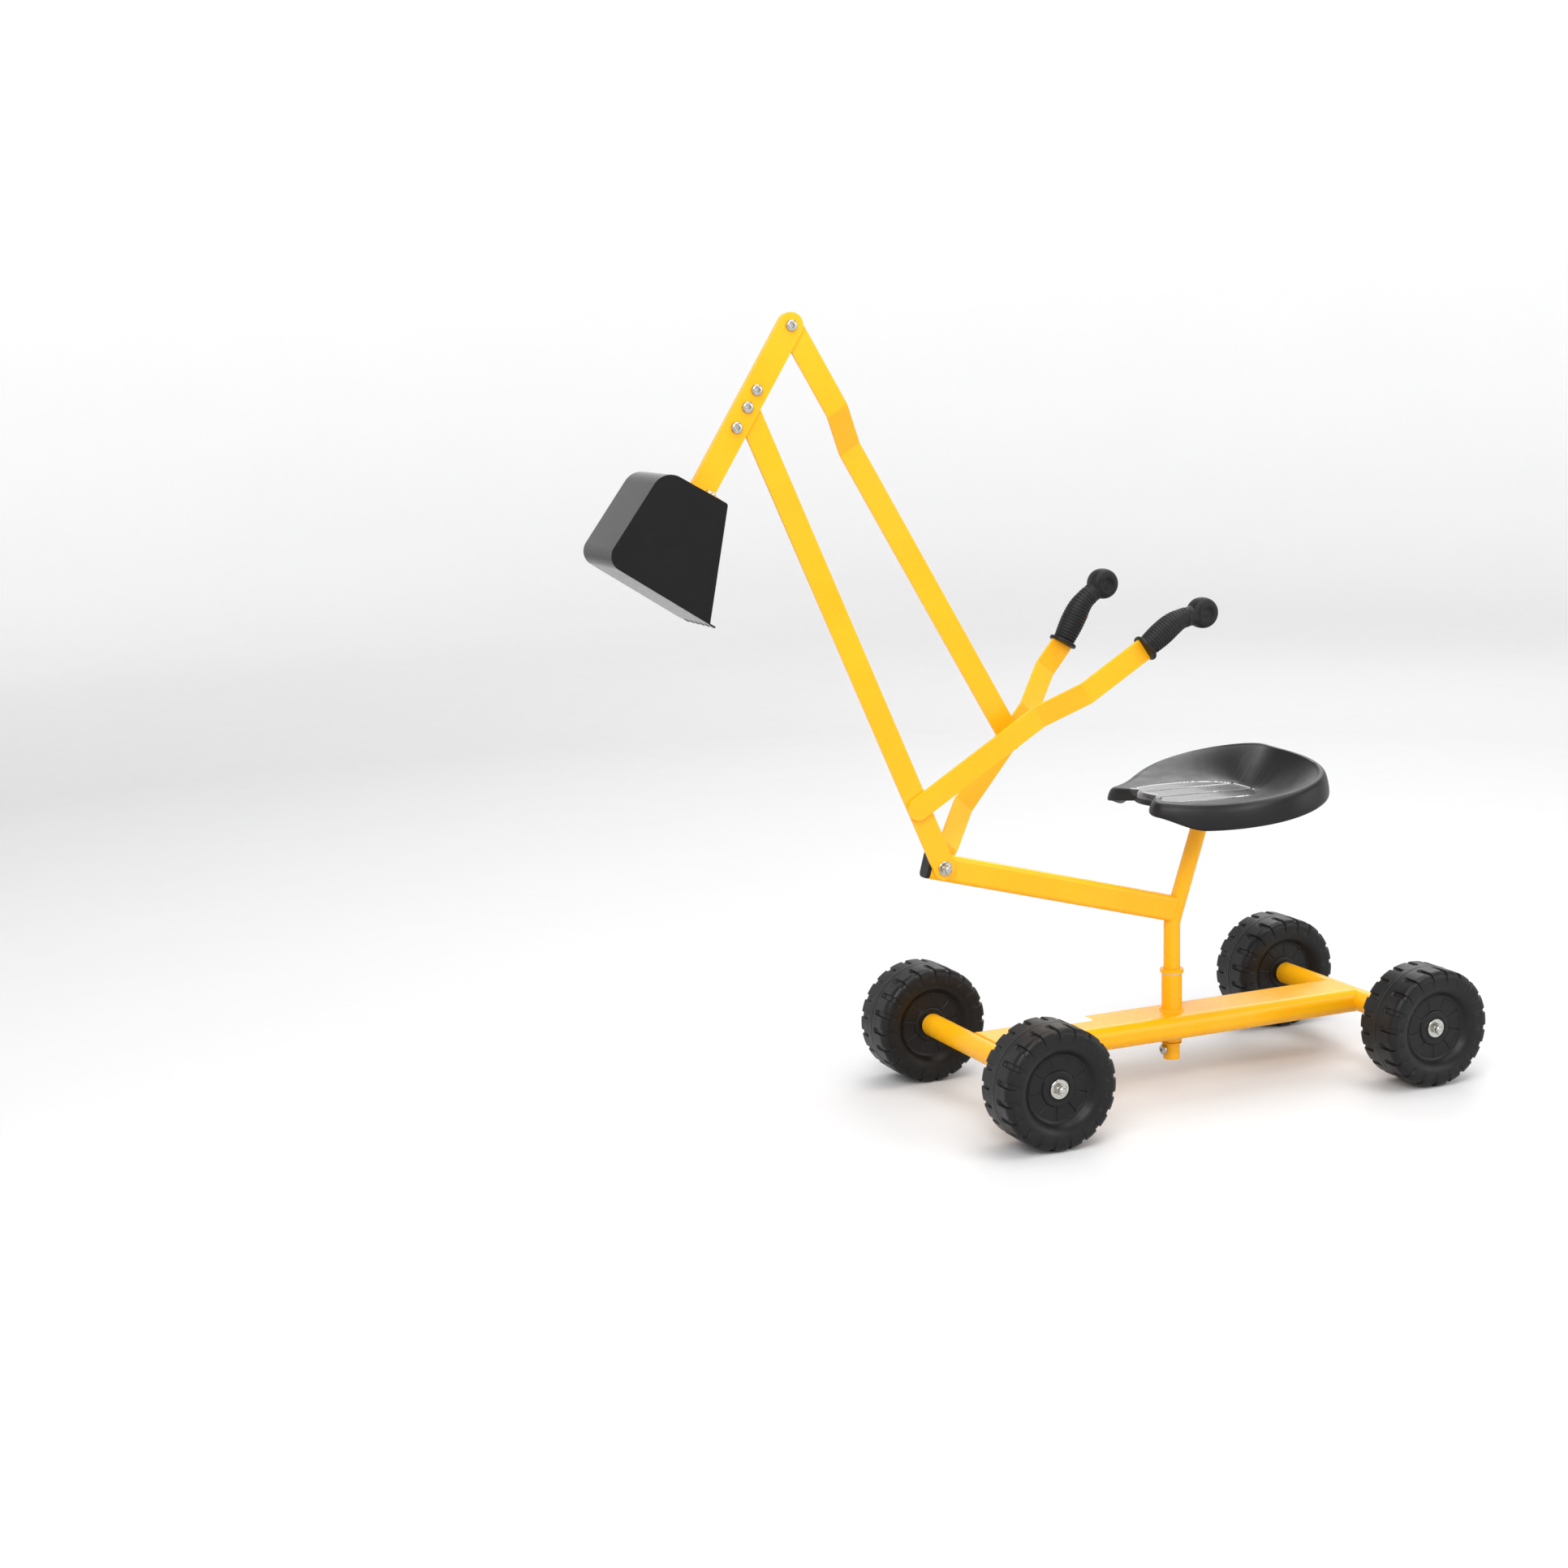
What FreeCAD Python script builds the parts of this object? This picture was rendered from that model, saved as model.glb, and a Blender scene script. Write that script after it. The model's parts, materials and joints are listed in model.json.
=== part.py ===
import FreeCAD, Part

import math
import os

from FreeCAD import Placement, Rotation, Vector

# Ride-on digger. Working axes: +X forwards (bucket end), +Y to the rider's left, +Z up.
# Shapes are drawn with the swivel axis at X = 0 and the ground at Z = 0; the last step
# moves every piece by swivel_x, which puts the origin under the middle of the object.

DIMS = {
    # ground frame
    "swivel_x": -207.28,
    "wheel_radius": 75.0,
    "wheel_width": 69.0,
    "wheel_track": 322.7,
    "wheel_recess_radius": 42.0,
    "wheel_recess_depth": 10.3,
    "wheel_hub_radius": 20.0,
    "wheel_skin": 5.0,
    "front_axle_x": 273.6,
    "rear_axle_x": -269.3,
    "axle_tube_radius": 14.5,
    "axle_tube_wall": 2.0,
    "axle_tube_length": 270.6,
    "axle_rod_radius": 4.0,
    "axle_rod_length": 390.0,
    "hub_bush_radius": 8.0,
    "running_gap": 0.06,
    "rail_width": 77.0,
    "rail_height": 31.0,
    "rail_wall": 2.0,
    "rail_corner": 13.0,
    "rail_end_gap": 5.0,
    "sleeve_radius": 13.0,
    "sleeve_bore": 11.7,
    "sleeve_top": 138.5,
    "sleeve_bottom": 50.5,
    # upper frame
    "post_radius": 10.5,
    "post_wall": 2.0,
    "post_bottom": 27.0,
    "retaining_z": 40.0,
    "post_bend_z": 206.0,
    "post_bend_radius": 45.0,
    "post_lean": 18.7,
    "post_top": 361.0,
    "collar_radius": 15.0,
    "collar_height": 5.0,
    "beam_width": 20.0,
    "beam_height": 33.0,
    "beam_wall": 2.0,
    "beam_corner": 6.0,
    "beam_slope": 15.2,
    "beam_nose": 15.0,
    "seat_x": -35.0,
    "seat_z": 368.0,
    "seat_tilt": 1.0,
    "seat_yaw": -4.4,
    "seat_length_scale": 0.80,
    "seat_width_scale": 1.08,
    "seat_notch_deep": 97.5,
    "seat_notch_half": 30.0,
    "seat_skin": 4.0,
    # digging arm
    "pivot_x": 330.3,
    "pivot_z": 312.7,
    "bar_width": 28.5,
    "bar_thick": 4.0,
    "boom_angle": 66.35,
    "boom_length": 608.7,
    "boom_y": 12.5,
    "lever_start_x": 378.0,
    "lever_start_z": 382.5,
    "lever_angle": 149.5,
    "lever_y": 16.5,
    "lever_grip_y": 47.0,
    "control_angle": 130.0,
    "control_foot_y": -12.5,
    "control_mid_y": -39.0,
    "control_grip_y": -65.0,
    "rod_pin_x": 221.3,
    "rod_pin_z": 454.2,
    "rod_low_y": -12.5,
    "rod_foot_radius": 10.0,
    "rod_slot_radius": 7.4,
    "rod_head_radius": 11.2,
    "dipper_angle": -57.8,
    "dipper_reach": 105.8,
    "dipper_foot": 218.1,
    "dipper_width": 30.0,
    "dipper_gap": 5.2,
    "dipper_wall": 1.6,
    "bucket_angle": 29.8,
    "bucket_width": 90.0,
    "bucket_skin": 2.0,
    "foot_reach": 24.0,
    "foot_thick": 3.0,
    "grip_straight": 55.2,
    "grip_rest": 37.4,
    "grip_bend": 25.7,
    "grip_radius": 14.0,
    "grip_flange_radius": 17.0,
    "knob_radius": 19.0,
    "knob_thick": 27.0,
    # fasteners
    "bolt_radius": 4.0,
    "bolt_head_radius": 7.0,
    "bolt_head_height": 4.0,
    "nut_radius": 7.4,
    "nut_height": 6.5,
    "washer_radius": 12.0,
    "washer_thick": 1.6,
}

doc = FreeCAD.newDocument("ride_on_digger")
sheet = doc.addObject("Spreadsheet::Sheet", "dims")
for row, (alias, value) in enumerate(DIMS.items(), start=1):
    sheet.set(f"A{row}", alias)
    sheet.set(f"B{row}", str(value))
    sheet.setAlias(f"B{row}", alias)
doc.recompute()

nodes = []


def dim(alias):
    return float(sheet.get(alias))


def node(obj, label):
    """Name a finished piece and put it on the list of pieces to write."""
    obj.Label = label
    nodes.append(obj)
    return obj


# ---------------------------------------------------------------- placements

def upright(x, y, z):
    return Placement(Vector(x, y, z), Rotation())


def along_y(x, y, z):
    """Local Z runs along +Y."""
    return Placement(Vector(x, y, z), Rotation(Vector(1, 0, 0), -90))


def along_x(x, y, z):
    """Local Z runs along +X."""
    return Placement(Vector(x, y, z), Rotation(Vector(0, 1, 0), 90))


def side_frame(x, y, z, angle):
    """Local X points along angle, measured from +X towards +Z; local Y stays +Y."""
    return Placement(Vector(x, y, z), Rotation(Vector(0, 1, 0), -angle))


def heading(angle):
    return Vector(math.cos(math.radians(angle)), 0, math.sin(math.radians(angle)))


# ---------------------------------------------------------------- primitives

def cylinder(radius, height, place):
    obj = doc.addObject("Part::Cylinder", "round")
    obj.setExpression("Radius", radius)
    obj.setExpression("Height", height)
    obj.Placement = place
    return obj


def box(length, width, height, place):
    obj = doc.addObject("Part::Box", "block")
    obj.setExpression("Length", length)
    obj.setExpression("Width", width)
    obj.setExpression("Height", height)
    obj.Placement = place
    return obj


def hexagon(radius, height, place):
    obj = doc.addObject("Part::Prism", "hexagon")
    obj.Polygon = 6
    obj.setExpression("Circumradius", radius)
    obj.setExpression("Height", height)
    obj.Placement = place
    return obj


def cut(base, tool):
    obj = doc.addObject("Part::Cut", "cut")
    obj.Base, obj.Tool = base, tool
    return obj


def common(base, tool):
    obj = doc.addObject("Part::Common", "common")
    obj.Base, obj.Tool = base, tool
    return obj


def fuse(pieces):
    obj = doc.addObject("Part::MultiFuse", "fused")
    obj.Shapes = pieces
    return obj


def group(pieces):
    obj = doc.addObject("Part::Compound", "group")
    obj.Links = pieces
    return obj


def tube(outer, inner, height, place):
    return cut(cylinder(outer, height, place), cylinder(inner, height, place))


# ---------------------------------------------------------------- fasteners

def washer(place, bore="dims.bolt_radius + 0.1", outer="dims.washer_radius"):
    return tube(outer, bore, "dims.washer_thick", place)


def nut(place):
    bore = cylinder("dims.bolt_radius", "dims.nut_height", place)
    return cut(hexagon("dims.nut_radius", "dims.nut_height", place), bore)


def bolt(place, length):
    """Button-head bolt: the head starts at the place, and the shank runs along local -Z."""
    head = cylinder("dims.bolt_head_radius", "dims.bolt_head_height", place)
    shank_place = place.multiply(Placement(Vector(0, 0, -length), Rotation()))
    shank = doc.addObject("Part::Cylinder", "shank")
    shank.setExpression("Radius", "dims.bolt_radius")
    shank.Height = length + 1
    shank.Placement = shank_place
    socket_depth = 0.6 * dim("bolt_head_height")
    socket_place = place.multiply(
        Placement(Vector(0, 0, dim("bolt_head_height") - socket_depth), Rotation()))
    socket = hexagon("dims.bolt_head_radius * 0.38", "dims.bolt_head_height", socket_place)
    return cut(fuse([head, shank]), socket)


def turned(place):
    """The same spot, facing the other way."""
    return place.multiply(Placement(Vector(0, 0, 0), Rotation(Vector(1, 0, 0), 180)))


# ---------------------------------------------------------------- sketched bodies

def new_body(name):
    return doc.addObject("PartDesign::Body", name)


def sketch_on(body, role, name):
    """A sketch on one of the body's own origin planes."""
    plane = next(o for o in body.Origin.OriginFeatures if o.Role == role)
    sketch = body.newObject("Sketcher::SketchObject", name)
    sketch.AttachmentSupport = (plane, [""])
    sketch.MapMode = "FlatFace"
    return sketch


def rounded_outline(points, radii):
    """Closed outline through points, with an arc of the given radius at each corner."""
    count = len(points)
    corners = []
    for i, radius in enumerate(radii):
        here = Vector(*points[i], 0)
        back = (Vector(*points[i - 1], 0) - here).normalize()
        ahead = (Vector(*points[(i + 1) % count], 0) - here).normalize()
        if radius <= 0:
            corners.append((here, None, here))
            continue
        half = back.getAngle(ahead) / 2
        reach = radius / math.tan(half)
        middle = here + (back + ahead).normalize() * (radius / math.sin(half) - radius)
        corners.append((here + back * reach, middle, here + ahead * reach))
    edges = []
    for i, (start, middle, end) in enumerate(corners):
        if middle is not None:
            edges.append(Part.Arc(start, middle, end))
        following = corners[(i + 1) % count][0]
        if end.distanceToPoint(following) > 1e-6:
            edges.append(Part.LineSegment(end, following))
    return edges


def circle(x, y, radius):
    return Part.Circle(Vector(x, y, 0), Vector(0, 0, 1), radius)


def strip_outline(points, thickness, bend_radius):
    """Outline of a strip of even thickness that follows points with bends of one radius."""
    line = [Vector(*p, 0) for p in points]
    sides = ([], [])
    radii = ([], [])
    for i, here in enumerate(line):
        before = (here - line[i - 1]).normalize() if i > 0 else None
        after = (line[i + 1] - here).normalize() if i < len(line) - 1 else None
        first, second = before or after, after or before
        normal = Vector(-first.y - second.y, first.x + second.x, 0).normalize()
        stretch = thickness / 2 / normal.dot(Vector(-first.y, first.x, 0))
        turn = first.cross(second).z
        for side, sign in enumerate((1, -1)):
            point = here + normal * (stretch * sign)
            sides[side].append((point.x, point.y))
            if abs(turn) < 1e-9:
                radii[side].append(0)
            else:
                outside = turn * sign < 0
                radii[side].append(bend_radius + (thickness if outside else 0))
    return rounded_outline(sides[0] + sides[1][::-1], radii[0] + radii[1][::-1])


def pad(body, sketch, length):
    """Pad a sketch evenly to both sides of its plane."""
    feature = body.newObject("PartDesign::Pad", "Pad")
    feature.Profile = sketch
    feature.setExpression("Length", length)
    feature.SideType = "Symmetric"
    return feature


def pocket(body, sketch, length):
    feature = body.newObject("PartDesign::Pocket", "Pocket")
    feature.Profile = sketch
    feature.setExpression("Length", length)
    feature.SideType = "Symmetric"
    return feature


def side_plate(name, outline, thickness, place, holes=()):
    """A flat plate drawn in side view (local X and Z), even about its own plane."""
    body = new_body(name)
    sketch = sketch_on(body, "XZ_Plane", name + "_outline")
    sketch.addGeometry(outline)
    for x, z, radius in holes:
        sketch.addGeometry(circle(x, z, radius))
    pad(body, sketch, thickness)
    body.Placement = place
    return body


def bar_outline(start, end, half, start_round, end_round):
    """Side view of a flat bar. An end that is rounded more tightly than the bar has shoulders."""
    points, radii = [], []
    shoulder = 10
    for tip, radius, sign in ((start, start_round, 1), (end, end_round, -1)):
        corner = [(tip, -radius * sign), (tip, radius * sign)]
        if half - radius > 0.01:
            inner = tip + sign * radius
            corner = ([(inner + sign * shoulder, -half * sign), (inner, -radius * sign)]
                      + corner + [(inner, radius * sign), (inner + sign * shoulder, half * sign)])
            radii += [0, 0, radius - 0.02, radius - 0.02, 0, 0]
        else:
            radii += [radius - 0.02, radius - 0.02]
        points += corner
    return rounded_outline(points, radii)


def joggled_bar(name, place, route, outline, holes):
    """Flat bar with side steps: the strip seen from above, kept inside its side outline."""
    strip = new_body(name + "_strip")
    sketch = sketch_on(strip, "XY_Plane", name + "_route")
    sketch.addGeometry(strip_outline(route, dim("bar_thick"), 8))
    pad(strip, sketch, "dims.bar_width + 20")
    strip.Placement = place
    side = side_plate(name + "_side", outline, "400", place, holes)
    return common(strip, side)


def swept_round(name, path, radius, inner=None):
    """A round rod or tube along a path of points (X, Z, bend radius) in the plane Y = 0."""
    body = new_body(name)
    profile = sketch_on(body, "XY_Plane", name + "_section")
    x0, z0, _ = path[0]
    profile.AttachmentOffset = Placement(Vector(x0, 0, z0), Rotation())
    profile.addGeometry(circle(0, 0, radius))
    if inner:
        profile.addGeometry(circle(0, 0, inner))
    spine = sketch_on(body, "XZ_Plane", name + "_path")
    spine.addGeometry(open_route(path))
    pipe = body.newObject("PartDesign::AdditivePipe", "Pipe")
    pipe.Profile = profile
    doc.recompute()
    pipe.Spine = (spine, [f"Edge{i + 1}" for i in range(len(spine.Shape.Edges))])
    return body


def open_route(path):
    """Straight runs joined by tangent arcs."""
    edges = []
    here = Vector(path[0][0], path[0][1], 0)
    for i in range(1, len(path) - 1):
        corner = Vector(path[i][0], path[i][1], 0)
        back = (Vector(path[i - 1][0], path[i - 1][1], 0) - corner).normalize()
        ahead = (Vector(path[i + 1][0], path[i + 1][1], 0) - corner).normalize()
        half = back.getAngle(ahead) / 2
        radius = path[i][2]
        reach = radius / math.tan(half)
        middle = corner + (back + ahead).normalize() * (radius / math.sin(half) - radius)
        edges.append(Part.LineSegment(here, corner + back * reach))
        edges.append(Part.Arc(corner + back * reach, middle, corner + ahead * reach))
        here = corner + ahead * reach
    edges.append(Part.LineSegment(here, Vector(path[-1][0], path[-1][1], 0)))
    return edges


# ---------------------------------------------------------------- ground frame

def wheel_profile():
    """Half section of the hollow wheel: radius along X, width along Y."""
    rim, half = dim("wheel_radius"), dim("wheel_width") / 2
    recess, depth = dim("wheel_recess_radius"), dim("wheel_recess_depth")
    hub, bush, skin = dim("wheel_hub_radius"), dim("hub_bush_radius"), dim("wheel_skin")
    floor = half - depth
    outer = [(bush, floor), (hub, floor), (recess - 4, floor), (recess, half), (rim, half)]
    outer_radii = [0, 0, 3, 3, 12]
    points = outer + [(x, -y) for x, y in reversed(outer)]
    radii = outer_radii + outer_radii[::-1]
    inside = [(hub, floor - skin), (recess - 4 + skin, floor - skin),
              (recess + skin, half - skin), (rim - skin, half - skin)]
    hollow = inside + [(x, -y) for x, y in reversed(inside)]
    hollow_radii = [0, 0, 2, 8, 8, 2, 0, 0]
    return rounded_outline(points, radii) + rounded_outline(hollow, hollow_radii)


def make_wheel(corner, x, y):
    body = new_body("wheel_" + corner)
    sketch = sketch_on(body, "XY_Plane", "wheel_section_" + corner)
    sketch.addGeometry(wheel_profile())
    turn = body.newObject("PartDesign::Revolution", "Revolution")
    turn.Profile = sketch
    turn.ReferenceAxis = (sketch, ["V_Axis"])
    turn.Angle = 360
    body.Placement = upright(x, y, dim("wheel_radius"))
    node(body, "wheel_" + corner)
    floor = dim("wheel_width") / 2 - dim("wheel_recess_depth")
    length = f"{2 * floor}"
    bush = tube("dims.hub_bush_radius", "dims.axle_rod_radius + dims.running_gap", length,
                along_y(x, y - floor, dim("wheel_radius")))
    node(bush, "hub_bush_" + corner)


def make_axle(end, x):
    z = dim("wheel_radius")
    half_tube = dim("axle_tube_length") / 2
    node(tube("dims.axle_tube_radius", "dims.axle_tube_radius - dims.axle_tube_wall",
              "dims.axle_tube_length", along_y(x, -half_tube, z)), end + "_axle_tube")
    node(cylinder("dims.axle_rod_radius", "dims.axle_rod_length",
                  along_y(x, -dim("axle_rod_length") / 2, z)), end + "_axle_rod")
    middle = dim("wheel_track") / 2
    floor = dim("wheel_width") / 2 - dim("wheel_recess_depth")
    washers, nuts, caps = [], [], []
    for side in (1, -1):
        outside = along_y(x, side * (middle + floor + 0.2), z)
        inside = along_y(x, side * (middle - floor - 0.2), z)
        outside, inside = (outside, turned(inside)) if side > 0 else (turned(outside), inside)
        washers += [washer(outside), washer(inside)]
        nuts.append(nut(outside.multiply(upright(0, 0, dim("washer_thick")))))
        caps.append(tube("dims.axle_tube_radius - dims.axle_tube_wall",
                         "dims.axle_rod_radius + 0.05", "12",
                         along_y(x, side * (half_tube - 6) - 6, z)))
        for corner, sign in (("left", 1), ("right", -1)):
            if sign == side:
                make_wheel(end + "_" + corner, x, side * middle)
    node(group(washers), end + "_axle_washers")
    node(group(nuts), end + "_axle_nuts")
    node(group(caps), end + "_tube_bushes")


def rounded_section(width, height, corner):
    """Outline of a rectangular tube's section, centred, with rounded corners."""
    w, h = width / 2, height / 2
    return rounded_outline([(-w, -h), (w, -h), (w, h), (-w, h)], [corner] * 4)


def make_rail():
    """Wide rounded tube between the axle tubes, with saddle-shaped ends and a sleeve hole."""
    front, rear = dim("front_axle_x"), dim("rear_axle_x")
    z = dim("wheel_radius")
    body = new_body("rail_tube")
    outer = sketch_on(body, "YZ_Plane", "rail_section")
    wide, tall, wall, corner = (dim("rail_" + k) for k in ("width", "height", "wall", "corner"))
    for inset in (0, wall):
        outer.addGeometry(rounded_section(wide - 2 * inset, tall - 2 * inset, corner - inset))
    pad(body, outer, f"{front - rear - 2 * dim('rail_end_gap')}")
    body.Placement = upright((front + rear) / 2, 0, z)
    tools = [cylinder("dims.axle_tube_radius", "200", along_y(x, -100, z))
             for x in (front, rear)]
    tools.append(cylinder("dims.sleeve_radius", "100", upright(0, 0, z - 50)))
    node(cut(body, fuse(tools)), "base_rail")
    node(tube("dims.sleeve_radius", "dims.sleeve_bore", "dims.sleeve_top - dims.sleeve_bottom",
              upright(0, 0, dim("sleeve_bottom"))), "swivel_sleeve")
    bushes = []
    for level in (dim("sleeve_bottom"), dim("sleeve_top") - 20):
        bushes.append(tube("dims.sleeve_bore", "dims.post_radius + dims.running_gap", "20",
                           upright(0, 0, level)))
    node(group(bushes), "swivel_bushes")
    node(tube("dims.sleeve_radius", "dims.post_radius + dims.running_gap", "1.5",
              upright(0, 0, dim("sleeve_top"))), "thrust_washer")


# ---------------------------------------------------------------- upper frame

def post_path():
    lean = math.radians(dim("post_lean"))
    rise = dim("post_top") - dim("post_bend_z")
    return [(0, dim("post_bottom"), 0), (0, dim("post_bend_z"), dim("post_bend_radius")),
            (-rise * math.tan(lean), dim("post_top"), 0)]


def make_post():
    radius, wall = dim("post_radius"), dim("post_wall")
    post = swept_round("post_tube", post_path(), radius, radius - wall)
    pin_z = dim("retaining_z")
    hole = cylinder("dims.bolt_radius + 0.02", "60", along_x(-30, 0, pin_z))
    node(cut(post, hole), "seat_post")
    collar_z = dim("sleeve_top") + 1.7
    node(tube("dims.collar_radius", "dims.post_radius", "dims.collar_height",
              upright(0, 0, collar_z)), "post_collar")
    reach = dim("post_radius") + 1.0
    head = along_x(reach, 0, pin_z)
    node(bolt(head, 2 * reach - 1.5), "retaining_bolt")
    node(tube("dims.sleeve_radius", "dims.post_radius + 0.1", "2",
              upright(0, 0, pin_z + dim("bolt_head_radius") + 0.1)), "retaining_washer")


def make_beam():
    slope = dim("beam_slope")
    length = dim("pivot_x") / math.cos(math.radians(slope)) + dim("beam_nose")
    nose = Vector(dim("pivot_x"), 0, dim("pivot_z")) + heading(slope) * dim("beam_nose")
    body = new_body("beam_tube")
    sketch = sketch_on(body, "YZ_Plane", "beam_section")
    wide, tall, wall, corner = (dim("beam_" + k) for k in ("width", "height", "wall", "corner"))
    for inset in (0, wall):
        sketch.addGeometry(rounded_section(wide - 2 * inset, tall - 2 * inset, corner - inset))
    pad(body, sketch, f"{length}")
    middle = nose - heading(slope) * (length / 2)
    body.Placement = side_frame(middle.x, 0, middle.z, slope)
    post = swept_round("post_core", post_path(), dim("post_radius"))
    bore = cylinder("dims.bolt_radius + 0.02", "60", along_y(dim("pivot_x"), -30, dim("pivot_z")))
    node(cut(body, fuse([post, bore])), "boom_beam")
    make_plug(nose, slope, wide, tall, wall, corner)


def make_plug(nose, slope, wide, tall, wall, corner):
    """Moulded cap: a lipped face over the tube end and a stem inside it."""
    body = new_body("plug_cap")
    cap = 5.0
    for name, inset, depth in (("face", 0, cap), ("stem", wall + 0.1, 9.0)):
        sketch = sketch_on(body, "YZ_Plane", "plug_" + name)
        sketch.addGeometry(rounded_section(wide - 2 * inset, tall - 2 * inset, corner - inset))
        feature = body.newObject("PartDesign::Pad", "Pad_" + name)
        feature.Profile = sketch
        feature.Length = depth
        feature.Reversed = name == "stem"
    body.Placement = side_frame(nose.x, 0, nose.z, slope)
    node(body, "beam_end_plug")


def make_seat():
    """Pan seat: a dished oval shell with a rolled edge and a notch at the front."""
    body = new_body("seat_shell")
    section = sketch_on(body, "XZ_Plane", "seat_section")
    skin = dim("seat_skin")
    centre_line = [(0, 0), (60, 0), (112, 3), (140, 19), (150, -6)]
    section.addGeometry(strip_outline(centre_line, skin, 6))
    turn = body.newObject("PartDesign::Revolution", "Revolution")
    turn.Profile = section
    turn.ReferenceAxis = (section, ["V_Axis"])
    turn.Angle = 360
    notch = sketch_on(body, "XY_Plane", "seat_notch")
    deep, half, reach = dim("seat_notch_deep"), dim("seat_notch_half"), 160.0
    notch.addGeometry(rounded_outline([(deep, -half), (reach, -half - 14), (reach, half + 14),
                                       (deep, half)], [16, 0, 0, 16]))
    pocket(body, notch, "120")
    pan = doc.addObject("Part::Scale", "seat_oval")
    pan.Base, pan.Uniform = body, False
    pan.setExpression("XScale", "dims.seat_length_scale")
    pan.setExpression("YScale", "dims.seat_width_scale")
    seat_place = upright(dim("seat_x"), 0, dim("seat_z")).multiply(
        Placement(Vector(), Rotation(Vector(0, 0, 1), dim("seat_yaw")))).multiply(
        side_frame(0, 0, 0, -dim("seat_tilt")))
    pan.Placement = seat_place
    node(pan, "seat_pan")
    plate_thick = 3.0
    place = seat_place.multiply(upright(-50, -40, -skin / 2 - plate_thick - 0.1))
    corners = [(-34, -26), (-34, 26), (34, -26), (34, 26)]
    plate = box("100", "80", f"{plate_thick}", place)
    drills = [cylinder("3.1", "20", place.multiply(upright(50 + x, 40 + y, -5)))
              for x, y in corners]
    post = swept_round("post_end", post_path(), dim("post_radius"))
    node(cut(plate, fuse(drills + [post])), "seat_bracket")
    screws = []
    for x, y in corners:
        spot = place.multiply(upright(50 + x, 40 + y, -3.1))
        screws.append(fuse([cylinder("5", "3", spot),
                            cylinder("3", "6.1", spot)]))
    node(group(screws), "seat_screws")


def make_pivot():
    """Through bolt that carries the boom on one side of the beam and the lever on the other."""
    x, z = dim("pivot_x"), dim("pivot_z")
    near = dim("boom_y") + dim("bar_thick") / 2 + 0.2
    far = dim("control_foot_y") - dim("bar_thick") / 2 - 0.2
    thick = dim("washer_thick")
    node(bolt(turned(along_y(x, far - thick, z)), near - far + 2 * thick + 8), "pivot_bolt")
    node(group([washer(along_y(x, near, z), outer="9"),
                washer(turned(along_y(x, far, z)), outer="9")]), "pivot_washers")
    node(nut(along_y(x, near + thick, z)), "pivot_nut")


# ---------------------------------------------------------------- boom

def make_grip(name, lever, start, angle, bend):
    """Rubber hand grip: a bent sleeve with a collar below and a round knob on top."""
    straight, rest = dim("grip_straight"), dim("grip_rest")
    middle = start + heading(angle) * straight
    knob = middle + heading(angle + bend) * rest
    radius = dim("grip_radius")
    grip = fuse([
        aimed_cylinder(start, angle, straight, radius),
        ball(middle, radius),
        aimed_cylinder(middle, angle + bend, rest, radius),
        aimed_cylinder(start, angle, 4.0, dim("grip_flange_radius")),
        knob_disc(knob),
    ])
    node(cut(grip, lever), name)


def aimed_cylinder(start, angle, length, radius):
    obj = doc.addObject("Part::Cylinder", "run")
    obj.Radius, obj.Height = radius, length
    obj.Placement = Placement(start, Rotation(Vector(0, 1, 0), 90 - angle))
    return obj


def ball(centre, radius):
    obj = doc.addObject("Part::Sphere", "ball")
    obj.Radius = radius
    obj.Placement = Placement(centre, Rotation())
    return obj


def knob_disc(centre):
    thick = dim("knob_thick")
    place = along_y(centre.x, centre.y - thick / 2, centre.z)
    return cylinder("dims.knob_radius", "dims.knob_thick", place)


def make_boom():
    length, half = dim("boom_length"), dim("bar_width") / 2
    hole = dim("bolt_radius") + dim("running_gap")
    place = side_frame(dim("pivot_x"), dim("boom_y"), dim("pivot_z"), dim("boom_angle"))
    tip = 12.9
    boom = side_plate("boom_plate", bar_outline(-half, length + tip, half, half, tip),
                      "dims.bar_thick", place, [(0, 0, hole), (length, 0, hole)])
    node(boom, "boom_bar")


def make_left_lever():
    """Fixed lever, welded flat against the boom, stepping out to its grip."""
    half = dim("bar_width") / 2
    low, high = 0.0, dim("lever_grip_y") - dim("lever_y")
    bends, end = (206.0, 262.0), 430.0
    flange_at = 357.5
    angle = dim("lever_angle")
    place = side_frame(dim("lever_start_x"), dim("lever_y"), dim("lever_start_z"), angle)
    route = [(0, low), (bends[0], low), (bends[1], high), (end, high)]
    outline = tang_outline(0, flange_at, end - 35, half)
    lever = joggled_bar("left_lever", place, route, outline, [])
    node(group([lever]), "left_lever")  # the bar itself stays, as the tool that bores its grip
    start = (Vector(dim("lever_start_x"), dim("lever_grip_y"), dim("lever_start_z"))
             + heading(angle) * flange_at)
    make_grip("left_grip", lever, start, angle - 4.9, dim("grip_bend"))


def tang_outline(start, flange_at, end, half):
    """Side view of a lever: full width up to the grip, then a narrower tang inside it."""
    tang = 9.0
    points = [(start, half), (start, -half), (flange_at - 1, -half), (flange_at + 6, -tang),
              (end, -tang), (end, tang), (flange_at + 6, tang), (flange_at - 1, half)]
    return rounded_outline(points, [half - 0.3, half - 0.3, 0, 0, 3, 3, 0, 0])


# ---------------------------------------------------------------- control lever and link rod

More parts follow.
